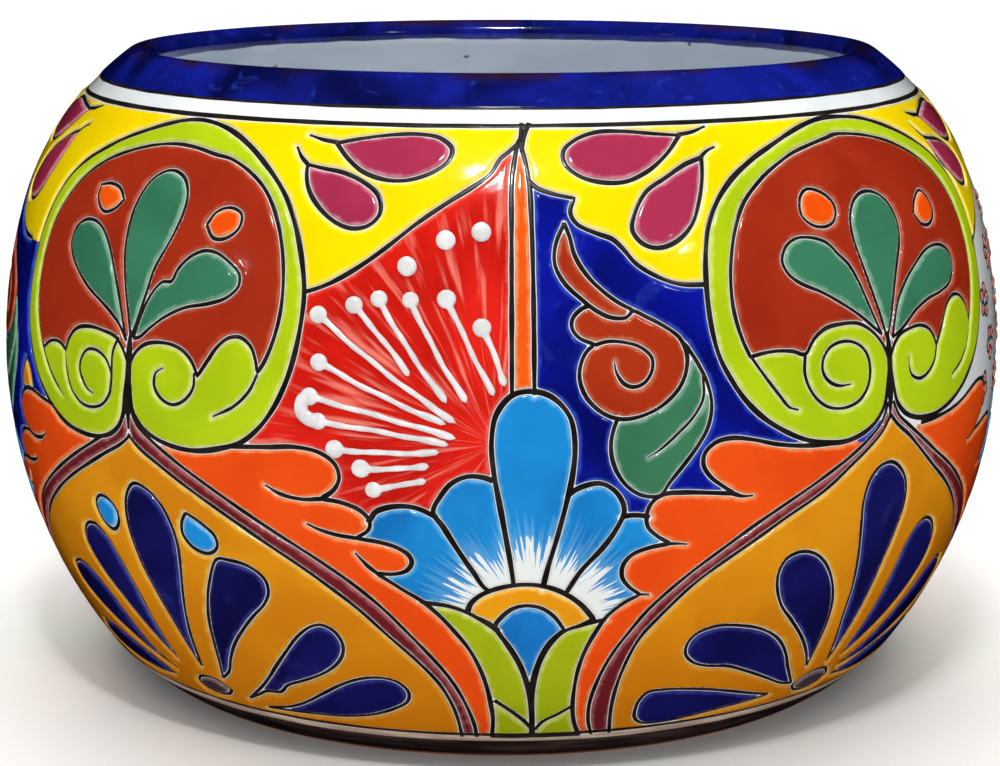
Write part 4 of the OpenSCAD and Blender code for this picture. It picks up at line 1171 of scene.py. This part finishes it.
def wash_look(name, dark, light, roughness):
    """Thin brushed wash, streaked round the pot."""
    look = Look(name, roughness, 0.25)
    stretch = look.nodes.new("ShaderNodeMapping")
    look.feed(stretch, {"Scale": (1, 1, 9), "Vector": look.coords()})
    streak = look.ramp(look.noise(55, 4.0, 0.3, 2.0, stretch.outputs["Vector"]), 0.38, 0.68)
    look.colour(look.blend(streak, srgb(dark), srgb(light)))
    look.relief(0.3, 0.2, 70.0)
    return look.material


def ink_look():
    return cloudy_look("ink", 0.32, 0.35, (150, 3.0, 0.4), 0.35, 0.7, "17120F", "2C2522",
                       (0.25, 0.12, 40.0))[0].material


def slip_look():
    return cloudy_look("white_slip", 0.2, 0.6, (210, 3.0), 0.35, 0.7, "D2D0D0", "E8E8E8",
                       (0.2, 0.08, 80.0))[0].material


# ---------------------------------------------------------------- building the pieces
def finish_piece(piece, material, slot, *nodes):
    piece.name = "painted_" + (nodes[0] if nodes else "outlines")
    piece.data.materials.clear()
    piece.data.materials.append(material)
    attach(piece, "root")
    if nodes:
        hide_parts(*nodes)


INK_LOOK = ink_look()
ENAMELS = [   # node, slot, material
    ("lime_borders", "lime_enamel", plain("lime_enamel", "98B00C", "B2CC14", "D6E070", seed=1.0)),
    ("medallion_fields", "terracotta_enamel",
     plain("terracotta_field", "861E0E", "A32E16", "C06048", seed=2.0)),
    ("green_leaves", "green_enamel", plain("green_leaf", "286048", "3A7C5C", "7FAE90", seed=3.5)),
    ("orange_dots", "orange_enamel", plain("orange_dot", "DC3C06", "F0560C", "F89A5C", seed=4.0)),
    ("yellow_swags", "yellow_enamel", plain("yellow_enamel", "EEC800", "FBDC00", "FFEC78", seed=5.0)),
    ("magenta_drops", "magenta_enamel",
     plain("magenta_enamel", "8C2240", "A83050", "D28A9C", seed=6.0)),
    ("brown_ribbons", "brown_enamel", plain("brown_enamel", "501218", "6E1E26", "AA6668", seed=7.0)),
    ("ochre_fans", "ochre_enamel", ochre_look()),
    ("cobalt_petals", "cobalt_enamel",
     cobalt_look("cobalt_petal", "0C0A36", "15165E", "3A3E96", 0.8, 8.0)),
    ("fan_eyes", "smoke_enamel", plain("smoke_enamel", "2C2026", "4A3C48", "8C7A80", seed=9.0)),
    ("sky_drops", "sky_enamel", plain("sky_drop", "1474C4", "1E90DC", "7CC0F0", seed=10.0)),
    ("orange_leaves", "orange_enamel",
     plain("orange_leaf", "D83C08", "EC5010", "F6965A", seed=12.0)),
    ("red_panels", "red_enamel", red_look()),
    ("cobalt_panels", "cobalt_enamel",
     cobalt_look("cobalt_panel", "04063C", "0A1494", "3450C4", 0.75, 13.0)),
    ("orange_dividers", "orange_enamel",
     plain("orange_divider", "D84408", "EC5C12", "F8A468", seed=14.0)),
    ("terracotta_scrolls", "terracotta_enamel",
     plain("terracotta_scroll", "8C240C", "A83214", "C87050", seed=15.0)),
    ("comma_leaves", "green_enamel", plain("green_comma", "2C644A", "3C7856", "86B098", seed=16.0)),
    ("daisy_petals", "sky_enamel", daisy_look()),
    ("daisy_arcs", "ochre_enamel", plain("ochre_arc", "DC8A0C", "EC9E14", "F8CC6C", seed=17.0)),
    ("daisy_drops", "sky_enamel", plain("sky_sun", "145CA8", "1C7CCC", "6CB0E4", seed=18.0)),
    ("base_leaves", "lime_enamel", plain("lime_leaf", "8C9C0C", "A6B414", "CED470", seed=19.0)),
    ("posy_petals", "posy_enamel", plain("posy_petal", "701A1C", "8E2A28", "C08078", seed=20.0)),
    ("posy_eyes", "posy_enamel", plain("posy_eye", "244C8C", "3C6FB0", "9CB8DC", seed=22.0)),
]
for number, (node, slot, material) in enumerate(ENAMELS):
    finish_piece(enamel(node, 100 + number), material, slot, node)
finish_piece(draw_ink(), INK_LOOK, "ink")
finish_piece(slip_beads(), slip_look(), "white_slip", "slip_trails")

finish_piece(clay_body(), clay_look(), "bisque_clay", "clay_body")
finish_piece(band("exterior_glaze", WASH_S + 0.4, RIM_S + 2.5, 0, GLAZE, 1, 0, 0, 1.6),
             glaze_look("white_glaze", "EEF0F0", "DDE2E4", "5A5652", 0.14, 0.5, 1.0),
             "white_glaze", "exterior_glaze")
finish_piece(band("interior_glaze", CREST_S + 8.5, FLOOR_S - 0.4, 0, GLAZE, 5, 0.4, 0, 2.0),
             glaze_look("inside_glaze", "E0E6EC", "CAD3DC", "2A2624", 0.3, 0.9, 4.0),
             "inside_glaze", "interior_glaze")
finish_piece(band("rim_glaze", RIM_S + 0.3, CREST_S + 9.8, GLAZE - 0.1, 0.32, 9, 0.22, 0.9, 1.0),
             rim_look(), "cobalt_glaze", "rim_glaze")
finish_piece(band("foot_wash", BARE_S + 0.2, WASH_S + 0.3, 0, 0.22, 13, 0.15, 0.35, 1.5),
             wash_look("dark_wash", "2A1D1C", "4E3C38", 0.45), "dark_wash", "foot_wash")
finish_piece(band("cream_line", WASH_S, CREAM_S + 0.2, 0.1, 0.35, 17, 0.3, 0.2, 1.0),
             wash_look("cream_slip", "B49A88", "DCCABC", 0.4), "cream_slip", "cream_line")
for name, s0, s1, seed, waves0, waves1 in (
        ("foot_stroke", CREAM_S, PAINT_S0 + 0.35, 21, 0.2, 0.25),
        ("shoulder_stroke", PAINT_S1 - 0.35, BAND_S + 0.15, 25, 0.3, 0.25),
        ("rim_stroke", RIM_S - 0.35, RIM_S + 0.8, 29, 0.3, 0.1)):
    finish_piece(band(name, s0, s1, GLAZE, INK, seed, waves0, waves1, 0.5, 0.3), INK_LOOK, "ink", name)


# ---------------------------------------------------------------- stage, light and camera
def stage_look():
    look = Look("floor_paper", 0.7, 0.0)
    cloud = look.ramp(look.noise(6, 2.0), 0.3, 0.7)
    look.colour(look.blend(cloud, srgb("F0F0EE"), srgb("F6F6F4")))
    return look.material


def build_floor():
    """A pale sheet that lies on the ground and curves up behind the pot."""
    half, front, back, bend = 6.0, -3.0, 3.0, 1.6
    profile = [(front, 0.0), (back - bend, 0.0)]
    profile += [(back - bend + bend * math.sin(t), bend - bend * math.cos(t))
                for t in np.linspace(0.08, math.pi / 2, 22)]
    profile.append((back, 5.0))
    points = [(x, y, z) for y, z in profile for x in (-half, half)]
    faces = [(2 * i, 2 * i + 1, 2 * i + 3, 2 * i + 2) for i in range(len(profile) - 1)]
    floor = add_mesh("floor", points, faces)
    floor.data.materials.append(stage_look())
    floor.visible_glossy = False


def area_light(name, place_at, aim, size, power, size_y=None, mirrored=False):
    """A soft light. Only a mirrored one shows as a highlight in the glaze."""
    light = bpy.data.lights.new(name, "AREA")
    light.shape = "RECTANGLE"
    light.size, light.size_y = size, size_y or size
    light.energy = power
    lamp = bpy.data.objects.new(name, light)
    lamp.location = place_at
    lamp.rotation_euler = (Vector(aim) - Vector(place_at)).to_track_quat("-Z", "Y").to_euler()
    lamp.visible_glossy = mirrored
    bpy.context.scene.collection.objects.link(lamp)


def build_light():
    area_light("overhead", (0, -0.2, 2.2), (0, 0, 0.1), 2.4, 25)
    area_light("front", (0.2, -2.6, 0.9), (0, 0, 0.1), 2.2, 16, 1.4)
    area_light("backdrop", (0, 0.9, 2.6), (0, 2.6, 1.0), 3.0, 60, 1.0)
    for x, y, size in ((-0.10, -0.80, 0.045), (-0.045, -0.86, 0.05), (0.02, -0.87, 0.045),
                       (0.09, -0.79, 0.03)):
        area_light("window", (x, y, 1.3), (0, 0, 0.16), size, 900 * size * size, 1.3 * size, True)
    for x in (-2.2, 1.1):
        area_light("side", (x, -1.2, 0.9), (0, 0, 0.1), 0.05, 0.5, 0.09, True)
    world = bpy.data.worlds.new("studio")
    world.use_nodes = True
    shade = world.node_tree.nodes["Background"]
    shade.inputs["Color"].default_value = (1, 1, 1, 1)
    shade.inputs["Strength"].default_value = 0.42
    world.cycles_visibility.glossy = False
    bpy.context.scene.world = world
    bpy.context.scene.view_settings.view_transform = "Standard"


def build_camera():
    camera = bpy.data.cameras.new("camera")
    camera.sensor_width = 36
    camera.lens = 88.9
    camera.shift_x, camera.shift_y = -0.0020, -0.0265
    eye = bpy.data.objects.new("camera", camera)
    eye.location = (0, -0.748, 0.2403)
    eye.rotation_euler = (math.radians(90 - 11.37), 0, 0)
    bpy.context.scene.collection.objects.link(eye)
    bpy.context.scene.camera = eye


build_floor()
build_light()
build_camera()
